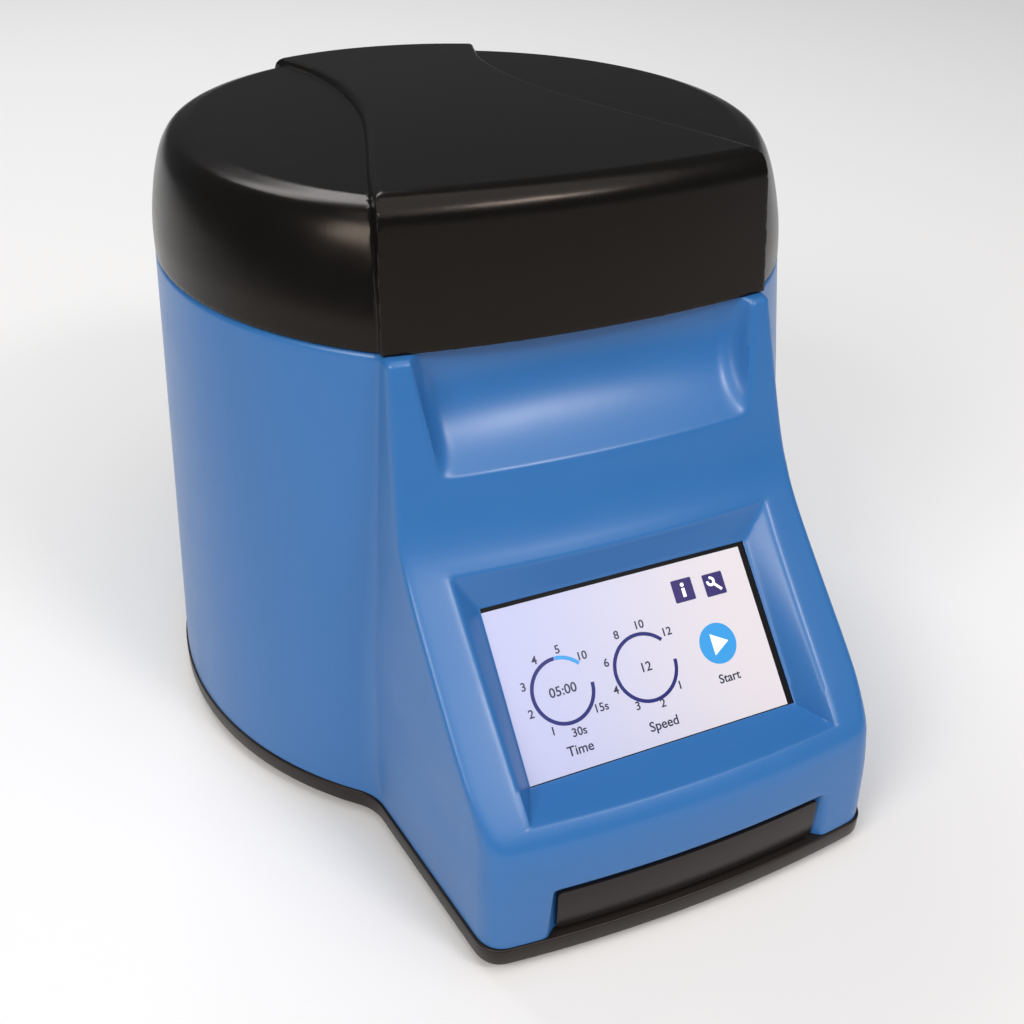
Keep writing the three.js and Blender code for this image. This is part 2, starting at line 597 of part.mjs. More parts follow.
function fanRotor() {
  const blade = box(8, -0.8, -5, FAN.bladeR, 0.8, 5);
  const pitch = new THREE.Matrix4().makeRotationX(0.7);
  const pitched = geometryOf(blade).applyMatrix4(pitch);
  const blades = Array.from({ length: FAN.blades }, (_, i) => {
    const turn = new THREE.Matrix4().makeRotationZ((i * 2 * Math.PI) / FAN.blades);
    return solid(pitched.clone().applyMatrix4(turn));
  });
  const upright = joined(rod(10, -5.5, 5.5, 0, 0, 20), ...blades);
  const g = geometryOf(upright).applyMatrix4(new THREE.Matrix4().makeRotationX(-Math.PI / 2));
  return solid(g.translate(FAN.x, 92.5, FAN.z));
}

function fanFrame() {
  const { x, z, half, y0, y1 } = FAN;
  const frame = cut(box(x - half, y0, z - half, x + half, y1, z + half), rodY(23.5, y0 - 1, y1 + 1, x, z, 28));
  const spider = joined(
    rodY(9, 98.6, y1, x, z, 16),
    box(x - half + 1, 98.6, z - 1.2, x + half - 1, y1, z + 1.2),
    box(x - 1.2, 98.6, z - half + 1, x + 1.2, y1, z + half - 1),
  );
  return joined(frame, spider);
}

node("rear_panel", rearPanel(), "darkPlastic");
node("inlet_body", inletBody(), "black");
node("fuse_drawer", box(INLET_X - 10.7, 86.5, 48.8, INLET_X + 10.7, 108, 56.2), "black");
node("power_rocker", box(INLET_X - 8, 99, 60.3, INLET_X + 8, 108.5, 66.7), "black");
node("fan_frame", fanFrame(), "darkPlastic");
node("fan_rotor", fanRotor(), "darkPlastic");

// ---- lid lock
const solenoid = box(LOCK.x0, LOCK.y - 6, 166, LOCK.x1, LOCK.y + 6, DECK.z - GAP);
node("lock_solenoid", cut(solenoid, rodX(LOCK.boltR + GAP, 5, LOCK.x1 - 4, LOCK.y, LOCK.z, 14)), "steel");
node("lock_bolt", rodX(LOCK.boltR, LOCK.tip, LOCK.x1 - 10, LOCK.y, LOCK.z, 14), "steel");

// ---- lid
// A piece with every point moved by a function of its place.
function warped(piece, move) {
  const g = geometryOf(piece);
  const p = g.getAttribute("position");
  for (let i = 0; i < p.count; i++) p.setXYZ(i, ...move(p.getX(i), p.getY(i), p.getZ(i)));
  return solid(g);
}

// The round shoulder body, grown or shrunk by an offset, and with its top raised by a lift.
function lidRound(offset, z0 = LID_RIM, sides = 64, lift = 0) {
  const top = LID_SHOULDER[LID_SHOULDER.length - 1][1] + offset + lift;
  const wall = LID_SHOULDER.slice(1).map(([r, z]) => [r + offset, z + offset + (z > 215 ? lift : 0)]);
  const upright = turned([[0, z0], [LID_R + offset, z0], ...wall, [0, top]], sides);
  return warped(upright, (x, y, z) => [x, y + LID_LEAN * (z - LID_RIM), z]);
}

// Everything behind the gently curved front face and under the panel's top, moved in by an inset.
function behindFront(inset) {
  const r = LID_FRONT_R - inset;
  const top = LID_PANEL_Z - inset;
  const points = [[0, 150], [r, 150]];
  const steps = 4;
  for (let i = 0; i <= steps; i++) {
    const a = (i / steps) * (Math.PI / 2);
    points.push([
      r - LID_FRONT_ROUND + LID_FRONT_ROUND * Math.cos(a),
      top - LID_FRONT_ROUND + LID_FRONT_ROUND * Math.sin(a),
    ]);
  }
  points.push([0, top]);
  const upright = turned(points, 96);
  return warped(upright, (x, y, z) => [
    x,
    y + LID_FRONT_Y + LID_FRONT_R + LID_FRONT_LEAN * (z - LID_RIM),
    z > top - 2 * LID_FRONT_ROUND ? z + LID_PANEL_TILT * (y + LID_FRONT_R) : z,
  ]);
}

function lidPanel() {
  const right = LID_PANEL_EDGE.map(([y, x]) => [x, y]);
  const left = LID_PANEL_EDGE.map(([y, x]) => [-x, y]).reverse();
  const prism = slab([...right, ...left], 205, LID_PANEL_Z, 2);
  const tilted = warped(prism, (x, y, z) => [
    x * (1 + LID_TAPER * (LID_PANEL_Z - z)), y, z + LID_PANEL_TILT * (y - LID_FRONT_Y),
  ]);
  const rearZ = LID_PANEL_Z + LID_PANEL_TILT * (LID_R - LID_FRONT_Y);
  const rise = rearZ - LID_SHOULDER[LID_SHOULDER.length - 1][1] + LID_PANEL_CLEAR;
  return tilted.intersect(joined(lidRound(0, LID_RIM, 64, rise), box(-90, -130, 190, 90, 60, 260)));
}

function lidShell() {
  const block = warped(
    box(-LID_FRONT_HALF_W, -130, LID_RIM, LID_FRONT_HALF_W, -92, 215),
    (x, y, z) => [x * (1 + LID_TAPER * (LID_PANEL_Z - z)), y, z],
  );
  const outer = joined(lidRound(0), lidPanel(), block).intersect(behindFront(0));
  const hollow = lidRound(-WALL, 180).intersect(behindFront(WALL));
  const screws = HINGE_SCREWS_LID.map((x) => rodY(1.9, 115, 140, x, HINGE_SCREW_Z.lid, 10));
  return cut(outer, hollow, ...screws);
}

function lidLiner() {
  const inside = WALL + 4 * GAP;
  return rod(LID_R - inside, LID_RIM + 0.4, LID_RIM + 3, 0, 0, 64).intersect(behindFront(inside));
}

function lockTongue() {
  const plate = box(-1.5, LOCK.y - 4, 166, 1.5, LOCK.y + 4, LID_RIM + 0.1);
  return cut(plate, rodX(LOCK.boltR + 0.6, -5, 5, LOCK.y, LOCK.z, 14));
}

node("lid_shell", lidShell(), "black");
node("lid_liner", lidLiner(), "darkPlastic");
node("lid_seal", ring(83, 86.5, 187.1, LID_RIM + 0.1, 40), "rubber");
node("lock_tongue", lockTongue(), "steel");

// ---- hinge
function knuckle(x0, x1) {
  return rodX(HINGE.knuckleR, x0, x1, HINGE.y, HINGE.z, 20);
}

function lidLeaf() {
  const { lidHalf, y, z } = HINGE;
  const pad = cut(box(-lidHalf, 110, 190.5, lidHalf, 132, 212), lidRound(2 * GAP, 180));
  const arm = box(-lidHalf, 128.6, z, lidHalf, y, 200);
  const holes = HINGE_SCREWS_LID.map((x) => rodY(1.9, 115, 140, x, HINGE_SCREW_Z.lid, 10));
  const bore = rodX(HINGE.pinR + GAP, -60, 60, y, z, 16);
  return cut(joined(pad, arm, knuckle(-lidHalf, lidHalf)), bore, ...holes);
}

function hingeBracket() {
  const { lidHalf, halfW, y, z } = HINGE;
  const wall = lofted([150, 170, 190].map((h) => outline(h, -GAP, plainFrontY)), STAR_Y);
  const pad = cut(box(-halfW, 105, 158, halfW, 133, 181), wall);
  const inner = lidHalf + GAP;
  const sides = [[-halfW, -inner], [inner, halfW]].map(([x0, x1]) =>
    joined(box(x0, 128.6, 176, x1, y + 2, z), knuckle(x0, x1)),
  );
  const holes = HINGE_SCREWS_BODY.map((x) => rodY(1.9, 100, 145, x, HINGE_SCREW_Z.body, 10));
  return cut(joined(pad, ...sides), rodX(HINGE.pinR + GAP, -60, 60, y, z, 16), ...holes);
}

// A screw whose head rests on the face at y = face.
function hingeScrew(x, z, face) {
  return joined(rodY(3.4, face + GAP, face + 2, x, z, 12), rodY(1.6, face - 12, face + 1, x, z, 8));
}

node("hinge_bracket", hingeBracket(), "darkPlastic");
node("hinge_leaf", lidLeaf(), "darkPlastic");
node("hinge_pin", rodX(HINGE.pinR, -HINGE.halfW, HINGE.halfW, HINGE.y, HINGE.z, 16), "steel");
HINGE_SCREWS_LID.forEach((x, i) => {
  node("leaf_screw_" + (i + 1), hingeScrew(x, HINGE_SCREW_Z.lid, 132), "steel");
});
HINGE_SCREWS_BODY.forEach((x, i) => {
  node("bracket_screw_" + (i + 1), hingeScrew(x, HINGE_SCREW_Z.body, 133), "steel");
});

// ---------------------------------------------------------------- frame
// The origin is the middle of the assembly's box in plan, at the level the feet stand on.
const bounds = new THREE.Box3().setFromObject(assembly);
assembly.position.set(0, -(bounds.min.y + bounds.max.y) / 2, FOOT_H);

export default group;
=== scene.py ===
"""Looks of a bench-top tube mixer: a round blue housing, a sloping touch-screen console and a black lid.

Shapes are drawn in millimetres about the drum's own axis, with z measured from the underside of the tray,
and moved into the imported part's frame by to_row().
"""

import json
import math

import bmesh
import bpy
import numpy as np
from mathutils import Matrix, Vector


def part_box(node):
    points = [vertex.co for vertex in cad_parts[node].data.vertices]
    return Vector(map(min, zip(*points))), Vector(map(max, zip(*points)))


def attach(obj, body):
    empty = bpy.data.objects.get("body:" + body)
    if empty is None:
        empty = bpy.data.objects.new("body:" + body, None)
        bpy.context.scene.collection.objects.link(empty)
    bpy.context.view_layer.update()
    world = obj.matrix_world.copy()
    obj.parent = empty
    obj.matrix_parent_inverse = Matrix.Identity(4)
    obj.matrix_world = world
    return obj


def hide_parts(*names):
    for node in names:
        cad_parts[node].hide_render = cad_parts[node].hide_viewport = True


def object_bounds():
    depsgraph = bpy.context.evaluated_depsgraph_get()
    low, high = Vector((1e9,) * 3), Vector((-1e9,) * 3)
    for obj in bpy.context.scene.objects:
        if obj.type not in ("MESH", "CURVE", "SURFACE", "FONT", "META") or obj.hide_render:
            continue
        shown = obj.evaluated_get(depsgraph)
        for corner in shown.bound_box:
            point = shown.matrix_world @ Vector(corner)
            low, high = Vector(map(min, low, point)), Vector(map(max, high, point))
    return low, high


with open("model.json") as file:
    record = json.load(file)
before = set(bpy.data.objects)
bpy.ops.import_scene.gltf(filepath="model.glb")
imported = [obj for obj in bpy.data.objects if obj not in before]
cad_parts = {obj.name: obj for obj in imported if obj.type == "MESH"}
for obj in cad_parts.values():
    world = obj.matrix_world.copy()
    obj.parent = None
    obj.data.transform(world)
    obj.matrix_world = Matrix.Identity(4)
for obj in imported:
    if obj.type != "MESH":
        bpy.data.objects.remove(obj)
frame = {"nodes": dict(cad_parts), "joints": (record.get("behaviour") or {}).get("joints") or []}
CAD_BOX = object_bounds()

# -------- frame
MM = 0.001
HINGE = {"y": 134.5, "z": 188.2}  # the lid's axis, behind the drum and above the tray's underside
lid_joint = next(j for j in frame["joints"] if j["name"] == "lid_hinge")
ORIGIN = np.array([0.0, lid_joint["pos_m"][1] - HINGE["y"] * MM, lid_joint["pos_m"][2] - HINGE["z"] * MM])


def to_row(points):
    """Drawing millimetres to metres in the part's frame."""
    return np.asarray(points, float) * MM + ORIGIN


# -------- driving dimensions
HOUSING_Z0, HOUSING_TOP, LID_RIM = 8.0, 187.5, 189.0
RIM_DROP = 1.2  # the lid's visible rim reaches this far below its structural one
DRUM_R = (140.0, 127.3)  # at the tray and at the rim
DRUM_SHIFT = -17.0  # the drum's axis at the tray
CREASE = ((-208.5, HOUSING_Z0), (-206.0, 51.0), (-127.0, 121.5), (-109.5, HOUSING_TOP))
FOLD_R, NECK_R = 5.0, 13.0
CREASE_HALF_W, CREASE_TAPER_Z = (80.3, 75.4), 124.0  # half width between the creases, tapering above a height
WAIST = {"depth": 1.2, "z": 50.0, "reach": 14.0}  # shallow waist at the fold
FRONT_BULGE = 5.6
SIDE_LEAN = (0.13, 0.08)  # sideways slope of the console's sides, at the tray and at the rim
FILLET_R = (20.0, 5.0)  # between the drum and the console's sides, at the tray and at the rim
CORNER_R = (9.0, 3.0)  # of the console's front corners, below and above the fold
RIM_ROUND = 2.2
SCREEN_Y, SCREEN_Z, SCREEN_SLOPE = -163.3, 79.1, math.radians(45.3)
SCREEN_W, SCREEN_H = 110.0, 63.6
WINDOW = (110.2, 64.2)  # window in the housing, whose thin lip hides the gasket
WINDOW_LIP, GASKET_RIM = 0.15, 2.4
LIT_X, LIT_Y = (-55.0, 52.5), (-31.7, 30.5)  # lit area of the display, from the screen's middle
FLOOR_RIM = 0.5  # the surround's flat floor is this much larger than the screen on each side
BEZEL_Z = (55.6, 116.4)
BEZEL_HALF_W = (62.3, 64.8)
SCOOP_LIP_Z, SCOOP_BACK_Y, SCOOP_RISE = 147.3, -104.0, 33.0
SCOOP_HALF_W = (62.2, 67.4)
SCOOP_SIDE = 10.0  # width over which the scoop's side wall rounds into its back
BADGE = {"half_w": 54.4, "z0": 8.8, "z1": 27.0, "depth": 4.0, "set_back": 1.6, "thick": 1.4, "corner": 1.6}
RECESS_TOP, RECESS_EDGE = BADGE["z1"] + 3, 2.4  # the badge's recess ends here, rounded out over the edge
WALL = 3.0
HOLLOW_Z = (HOUSING_Z0 - 1, 34, 45, 55, 79, 102, 113, 124, 150, HOUSING_TOP + 1)  # rings of the hollow
POCKET = {"half_w": 54.0, "z0": 18.0, "z1": 74.0, "y": 101.0}
TRAY_FLOOR, TRAY_RIM, TRAY_LEDGE = 3.0, 6.0, 0.8
TRAY_SCREWS = ((-72.0, -197.0), (72.0, -197.0), (-124.0, 28.0), (124.0, 28.0))
LID_R = 127.3
LID_SHOULDER = (  # (radius, z) up the round wall and over the shoulder
    (LID_R, LID_RIM), (126.6, 200.0), (124.4, 212.0), (121.8, 221.0),
    (119.0, 227.0), (115.0, 231.2), (108.0, 233.5),
)
LID_LEAN = 0.09  # how far the shoulder's axis moves back per mm of height
LID_PANEL_Z, LID_PANEL_TILT = 239.5, -0.0185
LID_PANEL_CLEAR = 2.0  # height of the panel's step over the shoulder behind the hinge side
LID_PANEL_ROUND = 2.6
LID_FRONT = {"y": -112.0, "r": 443.0, "lean": 0.119, "half_w": 73.3, "taper": 0.00067, "round": 9.0}
LID_PANEL_EDGE = (  # (y, half width) of the raised panel, from the front to the hinge
    (-116.0, 73.3), (-98.0, 73.1), (-77.0, 68.0), (-59.0, 62.5), (-40.0, 56.3), (-20.0, 50.0), (3.0, 43.5),
    (22.0, 40.0), (41.0, 38.0), (60.0, 37.7), (79.0, 39.5), (92.0, 42.6), (128.0, 54.0),
)


# -------- small maths
def lerp(a, b, t):
    return a + (b - a) * t


def smooth(t):
    t = np.clip(t, 0.0, 1.0)
    return t * t * (3 - 2 * t)


def soft_min(a, b, k):
    return 0.5 * (a + b - np.sqrt((a - b) ** 2 + k * k))


def soft_max(a, b, k):
    return 0.5 * (a + b + np.sqrt((a - b) ** 2 + k * k))


def quarter(count):
    """Angles from 0 to 90 degrees, for a rounded edge."""
    return np.linspace(0, math.pi / 2, count)


def ramp(t, k=0.12):
    """t held between 0 and 1, with the two corners rounded over about k."""
    return np.clip(soft_min(soft_max(t, 0.0, k), 1.0, k), 0.0, 1.0)


# -------- housing surface
def crease_y(z):
    (y0, z0), (y1, z1), (y2, z2), (y3, z3) = CREASE
    slopes = ((y1 - y0) / (z1 - z0), (y2 - y1) / (z2 - z1), (y3 - y2) / (z3 - z2))

    def bend(at, r):
        return 0.5 * (z - at + math.hypot(z - at, r) - math.hypot(z0 - at, r) + at - z0)

    fold = (slopes[1] - slopes[0]) * bend(z1, FOLD_R)
    neck = (slopes[2] - slopes[1]) * bend(z2, NECK_R)
    return y0 + slopes[0] * (z - z0) + fold + neck


def crease_x(z):
    rise = min(1.0, max(0.0, (z - CREASE_TAPER_Z) / (HOUSING_TOP - CREASE_TAPER_Z)))
    waist = WAIST["depth"] * math.exp(-(((z - WAIST["z"]) / WAIST["reach"]) ** 2))
    return lerp(*CREASE_HALF_W, rise) - waist


FEATURE_COLUMNS = (  # height, outer and inner half width of the recess at that height
    (HOUSING_Z0, 58.8, 54.7),
    (RECESS_TOP, 56.6, 54.7),
    (BEZEL_Z[0] - 3, BEZEL_HALF_W[0], SCREEN_W / 2 + FLOOR_RIM),
    (BEZEL_Z[1], BEZEL_HALF_W[1], SCREEN_W / 2 + FLOOR_RIM),
    (SCOOP_LIP_Z - 4, SCOOP_HALF_W[0], SCOOP_HALF_W[0] - SCOOP_SIDE),
    (SCOOP_LIP_Z, SCOOP_HALF_W[0], SCOOP_HALF_W[0] - SCOOP_SIDE),
    (HOUSING_TOP, SCOOP_HALF_W[1], SCOOP_HALF_W[1] - SCOOP_SIDE),
)


def feature_columns(z):
    """Outer and inner half width of the recess at a height."""
    zs = [row[0] for row in FEATURE_COLUMNS]
    return tuple(float(np.interp(z, zs, [row[i] for row in FEATURE_COLUMNS])) for i in (1, 2))


def screen_y(z):
    return SCREEN_Y + (z - SCREEN_Z) / math.tan(SCREEN_SLOPE)


SCREEN_RISE = (SCREEN_H / 2 + FLOOR_RIM) * math.sin(SCREEN_SLOPE)


def plain_front(x, z):
    return crease_y(z) - FRONT_BULGE * (1 - (x / crease_x(z)) ** 2)


def front_y(x, z):
    """The front surface with the badge recess, the screen's surround and the finger scoop."""
    x = np.abs(np.asarray(x, float))
    plain = plain_front(x, z)
    outer, floor = feature_columns(z)
    side = (outer - x) / (outer - floor)
    if z < RECESS_TOP + 1.5:
        top = (RECESS_TOP - z) / RECESS_EDGE
        return plain + BADGE["depth"] * ramp(soft_min(side, top, 0.5), 0.2)
    if z < BEZEL_Z[1] + 2:
        bottom = (z - BEZEL_Z[0]) / (SCREEN_Z - SCREEN_RISE - BEZEL_Z[0])
        top = (BEZEL_Z[1] - z) / (BEZEL_Z[1] - SCREEN_Z - SCREEN_RISE)
        depth = ramp(np.minimum(side, min(bottom, top)), 0.07)
        return lerp(plain, np.maximum(plain, screen_y(z)), depth)
    if z < SCOOP_LIP_Z - 2:
        return plain
    rise = soft_max((z - SCOOP_LIP_Z) / SCOOP_RISE, 0.0, 0.02)
    hollow = 1 - max(0.0, 1 - rise) ** 1.6
    wall = 1 - (1 - ramp(side, 0.05)) ** 3
    return lerp(plain, SCOOP_BACK_Y - 0.6 * (1 - (x / outer) ** 2), hollow * wall)


def inner_front(x, z):
    """The hollow's front, straight across, behind the badge, the screen and the scoop."""
    behind_badge = CREASE[0][0] + BADGE["depth"] + WALL - 2
    behind_screen = screen_y(max(z, SCREEN_Z - SCREEN_RISE - 2)) + WALL * 1.45
    low = smooth((z - BADGE["z1"] - 10) / 14)
    high = smooth((z - SCREEN_Z - SCREEN_RISE) / 22)
    return lerp(lerp(behind_badge, behind_screen, low), SCOOP_BACK_Y + WALL, high) + 0 * np.asarray(x, float)


FINE = {"arc": 64, "fillet": 16, "side": 14, "corner": 8, "land": 9, "bevel": 10, "floor": 36}
COARSE = {"arc": 48, "fillet": 6, "side": 2, "corner": 4, "land": 1, "bevel": 1, "floor": 2}


def drum_half(radius, axis_y, corner, d, r, counts):
    """Half the drum's arc from the back, and the fillet of radius r that leads into the console's side.

    The side passes through the console's corner along the unit vector d."""
    n = np.array([d[1], -d[0]])
    start = corner + n * r - np.array([0.0, axis_y])
    b = start @ d
    along = -b - math.sqrt(max(0.0, b * b - start @ start + (radius + r) ** 2))
    c = start + d * along
    last = math.atan2(c[1], c[0])
    angles = np.linspace(math.pi / 2, last, counts["arc"] + 1)
    drum = np.column_stack([radius * np.cos(angles), axis_y + radius * np.sin(angles)])
    end = math.atan2(-n[1], -n[0]) % (2 * math.pi)
    angles = np.linspace(last + math.pi, end, counts["fillet"] + 1)[1:]
    return [drum, np.column_stack([c[0] + r * np.cos(angles), axis_y + c[1] + r * np.sin(angles)])]


def outline(z, inset=0.0, front=front_y, counts=FINE):
    """The housing's closed outline at a height, anticlockwise from the back, as an array of (x, y)."""
    t = (z - HOUSING_Z0) / (HOUSING_TOP - HOUSING_Z0)
    radius = lerp(DRUM_R[0], DRUM_R[1], t) - inset
    axis_y = lerp(DRUM_SHIFT, 0.0, t)
    is_inner = front is inner_front
    fx = crease_x(z) - inset
    fy = float(inner_front(0.0, z)) if is_inner else crease_y(z) + inset
    lean = lerp(*SIDE_LEAN, t)
    d = np.array([lean, 1.0]) / math.hypot(lean, 1.0)
    parts = drum_half(radius, axis_y, np.array([fx, fy]), d, lerp(*FILLET_R, float(smooth(t * 1.1))), counts)
    side_start = parts[-1][-1]
    corner = lerp(*CORNER_R, float(smooth((z - 44) / 24)))
    corner = min(corner, max(0.5, (side_start[1] - fy) * 0.6))
    side_end = np.array([fx + d[0] * corner, fy + d[1] * corner])
    k = np.linspace(0, 1, counts["side"] + 1)[1:, None]
    parts.append(lerp(side_start, side_end, k))
    corner_x = fx - corner * 0.9
    outer, floor = feature_columns(z)

    def at(x):
        # The scoop's back wall stays upright where the rim around it is rounded.
        held = ramp((outer - np.abs(x)) * 4 / (outer - floor)) if z > SCOOP_LIP_Z else 0.0
        return front(x, z) + (0.0 if is_inner else inset * (1 - held))

    k = np.linspace(0, 1, counts["corner"] + 1)[1:, None]
    corner_end = np.array([corner_x, float(at(corner_x))])
    parts.append((1 - k) ** 2 * side_end + 2 * k * (1 - k) * np.array([fx, fy]) + k * k * corner_end)
    marks = [corner_x, outer - inset, floor - inset, 0.0]
    for i, part in enumerate(("land", "bevel", "floor")):
        xs = np.linspace(marks[i], marks[i + 1], counts[part] + 1)[1:]
        parts.append(np.column_stack([xs, at(xs)]))
    half = np.vstack(parts)
    left = half[:-1] * np.array([-1.0, 1.0])
    return np.vstack([left, half[1:][::-1]])


STAR_Y = -112.0  # an outline at the tray or the screen can be seen whole from here on the middle line
RIM_STAR_Y = -60.0  # and the rim's outline, which the scoop cuts into, from here


# -------- mesh helpers
def linked(name, data):
    """A new object in the scene."""
    made = bpy.data.objects.new(name, data)
    bpy.context.scene.collection.objects.link(made)
    return made


def new_object(name, points, faces):
    mesh = bpy.data.meshes.new(name)
    mesh.from_pydata([tuple(p) for p in to_row(points)], [], faces)
    mesh.validate()
    mesh.update()
    return linked(name, mesh)


def shift(made, offset):
    """Moves a piece's mesh by an offset in metres."""
    made.data.transform(Matrix.Translation(Vector(offset)))


def joined(name, pieces):
    """The pieces as one mesh; the separate ones are used up."""
    bm = bmesh.new()
    for piece in pieces:
        bm.from_mesh(piece.data)
        bpy.data.objects.remove(piece)
    mesh = bpy.data.meshes.new(name)
    bm.to_mesh(mesh)
    bm.free()
    return linked(name, mesh)


def loft(name, rings, cap_y=None, looped=False):
    """A closed body through rings of equally many (x, y, z) points, capped at its ends or looped on itself.

    cap_y holds the y of each end's middle point, from the first ring to the last."""
    count = len(rings[0])
    if looped:
        rings = [*rings, rings[0]]
    caps = [rings[i].mean(axis=0) for i in (0, -1)]
    if cap_y is not None:
        caps = [(0.0, y, cap[2]) for y, cap in zip(cap_y, caps)]
    points = np.vstack([*rings, caps])
    faces = []
    for row in range(len(rings) - 1):
        a = row * count
        b = a + count
        faces += [(a + j, a + (j + 1) % count, b + (j + 1) % count, b + j) for j in range(count)]
    low, high = len(points) - 2, len(points) - 1
    top = (len(rings) - 1) * count
    if looped:
        points = points[:top]
        faces = [tuple(i % top for i in face) for face in faces]
    else:
        faces += [(low, (j + 1) % count, j) for j in range(count)]
        faces += [(high, top + j, top + (j + 1) % count) for j in range(count)]
    made = new_object(name, points, faces)
    face_out(made.data)
    return made


def face_out(mesh, weld=0.0):
    """Turns every face outwards, once points nearer than a weld distance in metres are joined."""
    bm = bmesh.new()
    bm.from_mesh(mesh)
    if weld:
        bmesh.ops.remove_doubles(bm, verts=bm.verts, dist=weld)
    bmesh.ops.recalc_face_normals(bm, faces=bm.faces)
    bm.to_mesh(mesh)
    bm.free()


def ring_at(z, **options):
    points = outline(z, **options)
    return np.column_stack([points, np.full(len(points), z)])


def box_piece(name, low, high):
    points = [(x, y, z) for x in (low[0], high[0]) for y in (low[1], high[1]) for z in (low[2], high[2])]
    faces = [(0, 1, 3, 2), (4, 6, 7, 5), (0, 4, 5, 1), (2, 3, 7, 6), (0, 2, 6, 4), (1, 5, 7, 3)]
    made = new_object(name, points, faces)
    face_out(made.data)
    return made


def turned(name, profile, sides=128, place=(0.0, 0.0, 0.0), along_y=False, looped=False):
    """A body turned about Z, or about Y, from (radius, height) points; a looped profile makes a ring."""
    angles = np.linspace(0, 2 * math.pi, sides, endpoint=False)
    rings = []
    for radius, height in profile:
        level = np.full(sides, float(height))
        ring = np.column_stack([radius * np.cos(angles), radius * np.sin(angles), level])
        if along_y:
            ring = ring[:, [0, 2, 1]]
        rings.append(ring + np.array(place))
    return loft(name, rings, looped=looped)


def curve_through(points, steps=6):
    """A smooth curve through the points, with a number of steps between each two."""
    p = np.asarray(points, float)
    p = np.vstack([2 * p[0] - p[1], p, 2 * p[-1] - p[-2]])
    t = np.linspace(0, 1, steps, endpoint=False)[:, None]
    spans = []
    for a, b, c, d in zip(p, p[1:], p[2:], p[3:]):
        square = 2 * a - 5 * b + 4 * c - d
        cube = 3 * b - a - 3 * c + d
        spans.append(0.5 * (2 * b + (c - a) * t + square * t**2 + cube * t**3))
    return np.vstack([*spans, p[-2:-1]])


def melted(made, depth, passes=3, factor=0.5):
    """Remeshes a boolean's result evenly and rounds its edges a little, as a moulding's are."""
    remesh = made.modifiers.new("even", "REMESH")
    remesh.mode = "SHARP"
    remesh.octree_depth = depth
    remesh.scale = 0.97
    remesh.use_remove_disconnected = False
    soften = made.modifiers.new("soften", "SMOOTH")
    soften.factor = factor
    soften.iterations = passes
    apply_modifiers(made)
    return made


def boolean(target, tool, operation="DIFFERENCE"):
    """target cut by, joined with or kept inside tool, which is used up."""
    modifier = target.modifiers.new("cut", "BOOLEAN")
    modifier.operation = operation
    modifier.solver = "MANIFOLD"
    modifier.object = tool
    apply_modifiers(target)
    bpy.data.objects.remove(tool)


def evaluated(made):
    """A new mesh of a piece with its modifiers, or of a curve or text."""
    bpy.context.view_layer.update()
    graph = bpy.context.evaluated_depsgraph_get()
    return bpy.data.meshes.new_from_object(made.evaluated_get(graph))


def apply_modifiers(made):
    mesh = evaluated(made)
    made.modifiers.clear()
    made.data = mesh


def smooth_shading(made, degrees=32):
    made.data.polygons.foreach_set("use_smooth", [True] * len(made.data.polygons))
    made.data.set_sharp_from_angle(angle=math.radians(degrees))


def settle(made, material, body, replaces=(), degrees=32):
    """Shading, material, body and replaced nodes of a finished piece."""
    smooth_shading(made, degrees)
    made.data.materials.clear()
    made.data.materials.append(material)
    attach(made, body)
    if replaces:
        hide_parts(*replaces)
    return made


# -------- materials
def shader(name):
    material = bpy.data.materials.new(name)
    material.use_nodes = True
    return material, material.node_tree.nodes, material.node_tree.links


def noise(nodes, links, scale, detail=2.0, roughness=0.5):
    coords = nodes.new("ShaderNodeTexCoord")
    made = nodes.new("ShaderNodeTexNoise")
    made.inputs["Scale"].default_value = scale
    made.inputs["Detail"].default_value = detail
    made.inputs["Roughness"].default_value = roughness
    links.new(coords.outputs["Object"], made.inputs["Vector"])
    return made


def mapped(nodes, links, source, low, high):
    made = nodes.new("ShaderNodeMapRange")
    made.inputs["To Min"].default_value = low
    made.inputs["To Max"].default_value = high
    links.new(source, made.inputs["Value"])
    return made.outputs["Result"]


def mixed(nodes, links, factor, first, second):
    """A colour between two, by a factor."""
    made = nodes.new("ShaderNodeMix")
    made.data_type = "RGBA"
    made.inputs["A"].default_value = (*first, 1)
    made.inputs["B"].default_value = (*second, 1)
    links.new(factor, made.inputs["Factor"])
    return made.outputs["Result"]


def bumped(nodes, links, height, strength):
    """Gives the shader a fine bump from a height."""
    made = nodes.new("ShaderNodeBump")
    made.inputs["Strength"].default_value = strength
    made.inputs["Distance"].default_value = 0.0002
    links.new(height, made.inputs["Height"])
    links.new(made.outputs["Normal"], nodes["Principled BSDF"].inputs["Normal"])


def moulded(name, colour, rough=0.4, grain=0.02, spread=0.05, scale=1400.0, specular=0.5, painted_reflection_warmth=(1, 1, 1)):
    """Moulded plastic: slow colour variation, a fine spark-eroded grain and uneven gloss, with its
    reflections tinted by a painted warmth of light.
    """
    material, nodes, links = shader(name)
    bsdf = nodes["Principled BSDF"]
    bsdf.inputs["Specular IOR Level"].default_value = specular
    bsdf.inputs["Specular Tint"].default_value = (*painted_reflection_warmth, 1)
    darker = [c * (1 - spread) for c in colour]
    paler = [min(1.0, c * (1 + spread)) for c in colour]
    cloud = noise(nodes, links, 14.0, 3.0)
    links.new(mixed(nodes, links, cloud.outputs["Fac"], darker, paler), bsdf.inputs["Base Color"])
    smudge = noise(nodes, links, 55.0, 5.0, 0.6)
    gloss = mapped(nodes, links, smudge.outputs["Fac"], rough - 0.05, rough + 0.07)
    links.new(gloss, bsdf.inputs["Roughness"])
    bumped(nodes, links, noise(nodes, links, scale, 2.0).outputs["Fac"], grain)
    return material


